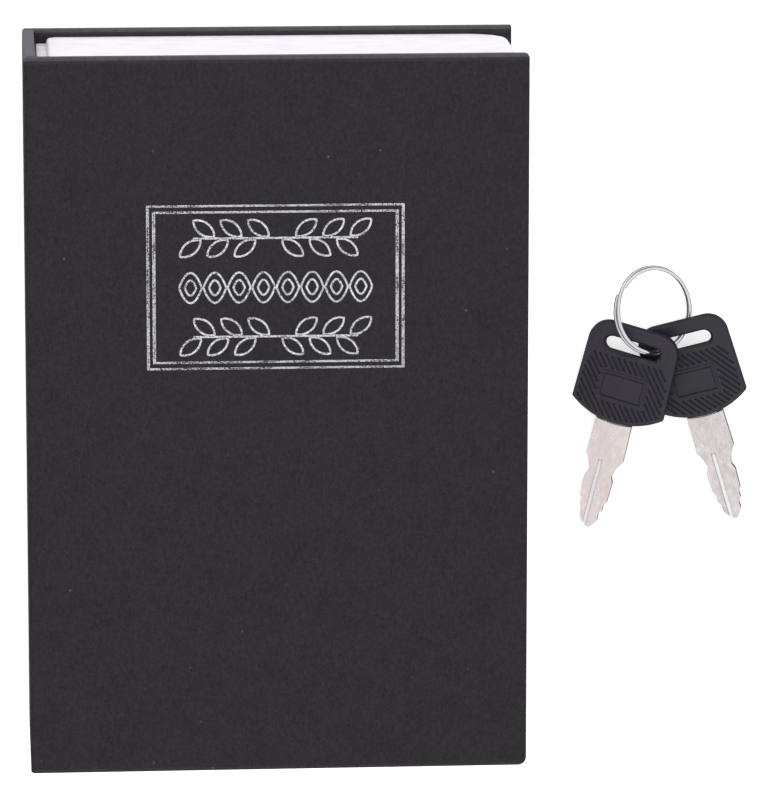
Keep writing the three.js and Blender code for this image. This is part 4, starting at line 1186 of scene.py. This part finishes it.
def key_bow(name, node):
    key = KEYS[node]
    buried, ridge, groove = 0.2, 0.18, 0.25
    bow = plate(name, [bow_outline(), slot_outline()], BOW_HALF_THICKNESS, BOW_SOFT_EDGE)
    for sign in (1, -1):
        face_z = sign * BOW_HALF_THICKNESS
        cut(bow, loose_object("grooves", *groove_bars(face_z)), "DIFFERENCE")
        cut(bow, panel_line(0, 0.4, face_z - sign * buried, face_z + sign * ridge), "UNION")
        cut(bow, panel_line(0.62, 0.3, face_z + sign * buried, face_z - sign * groove), "DIFFERENCE")
        cut(bow, slot_flare(face_z), "DIFFERENCE")

    # A pocket for the blade's tang
    half_x, half_z, low_y, high_y = 3.5, 0.75, -21.5, -14.2
    pocket = [
        (x * half_x, y, z * half_z)
        for z in (-1, 1) for x, y in ((-1, low_y), (1, low_y), (1, high_y), (-1, high_y))
    ]
    sides = [(0, 1, 2, 3), (4, 5, 6, 7), (0, 1, 5, 4), (1, 2, 6, 5), (2, 3, 7, 6), (3, 0, 4, 7)]
    cut(bow, loose_object("tang_pocket", pocket, sides), "DIFFERENCE")
    carved = bow.data.copy()
    bpy.data.objects.remove(bow)
    piece = object_of(name, carved, 40)
    turn = Euler([math.radians(a) for a in key["lie"]]).to_matrix().to_4x4()
    piece.data.transform(Matrix.Translation(Vector(key["at"]) * MM) @ turn)
    keep_piece(piece, key["body"], bow_plastic, [node + "_bow"])


key_bow("left_key_bow", "key_1")
key_bow("right_key_bow", "key_2")


# Floor, light and camera

def studio_floor():
    # Seamless white paper sweep: lit so evenly that it reads as white; in reflections it is painted grey, a
    # painted dark reflection so that bright metal has something dark to mirror
    material, tree = new_material(
        "white_sweep", roughness=0.9, specular_ior_level=0.0, emission_color=colour("#ffffff"))
    # Painted reflection: the floor is grey and dimmer only for rays that metal mirrors
    mirrored = add(tree, "ShaderNodeLightPath")["Is Glossy Ray"]
    tone = add(tree, MIX, {0: mirrored, 6: colour("#ffffff"), 7: colour("#6c6c70")}, data_type="RGBA")[2]
    glow = add(tree, RANGE, [mirrored, 0, 1, 0.55, 0.05])[0]
    feed(material, base_color=tone, emission_strength=glow)
    mesh = bpy.data.meshes.new("floor")
    size = 3.0
    corners = [(x * size, y * size, 0) for x, y in ((-1, -1), (1, -1), (1, 1), (-1, 1))]
    mesh.from_pydata(corners, [], [(0, 1, 2, 3)])
    floor = bpy.data.objects.new("floor", mesh)
    mesh.materials.append(material)
    scene.collection.objects.link(floor)
    floor.location.z = -0.3 * MM


def soft_light(name, at, aim, size, watts):
    data = bpy.data.lights.new(name, "AREA")
    data.shape = "RECTANGLE"
    data.size, data.size_y = size
    data.energy = watts
    light = bpy.data.objects.new(name, data)
    light.location = at
    light.rotation_euler = (Vector(aim) - Vector(at)).to_track_quat("-Z", "Y").to_euler()
    scene.collection.objects.link(light)


def studio_world():
    """White overhead, greyer towards the horizon, so that bright metal has something dark to mirror."""
    world = bpy.data.worlds.new("studio")
    scene.world = world
    world.use_nodes = True
    tree = world.node_tree
    tree.nodes.clear()
    height = add(tree, "ShaderNodeSeparateXYZ", {0: add(tree, "ShaderNodeTexCoord")["Generated"]})[2]
    share = add(tree, RANGE, [height, 0.02, 0.5])[0]
    tone = add(tree, MIX, {0: share, 6: colour("#46464a"), 7: colour("#f8f8fa")}, data_type="RGBA")[2]
    glow = add(tree, "ShaderNodeBackground", {"Color": tone, "Strength": 1.0})[0]
    plain = add(tree, "ShaderNodeBackground", {"Color": colour("#ffffff"), "Strength": 1.0})[0]
    camera_ray = add(tree, "ShaderNodeLightPath")["Is Camera Ray"]
    mixed = add(tree, "ShaderNodeMixShader", {0: camera_ray, 1: glow, 2: plain})[0]
    add(tree, "ShaderNodeOutputWorld", {"Surface": mixed})


def photo_camera():
    """The camera fitted to the covers' corners, its focal length in pixels of the frame."""
    focal_pixels, frame_height = 5977, 794
    data = bpy.data.cameras.new("camera")
    data.sensor_width = 36
    data.lens = data.sensor_width * focal_pixels / frame_height
    data.clip_end = 20
    camera = bpy.data.objects.new("camera", data)
    camera.location = (-0.0720, 0.2914, 1.5028)
    camera.rotation_euler = [math.radians(a) for a in (-11.18, -3.87, 0.04)]
    scene.collection.objects.link(camera)
    scene.camera = camera


studio_floor()
studio_world()
soft_light("head_light", (0.0, 0.9, 0.5), (0, 0.05, 0.03), (1.2, 0.5), 2.0)
photo_camera()
scene.view_settings.view_transform = "Standard"
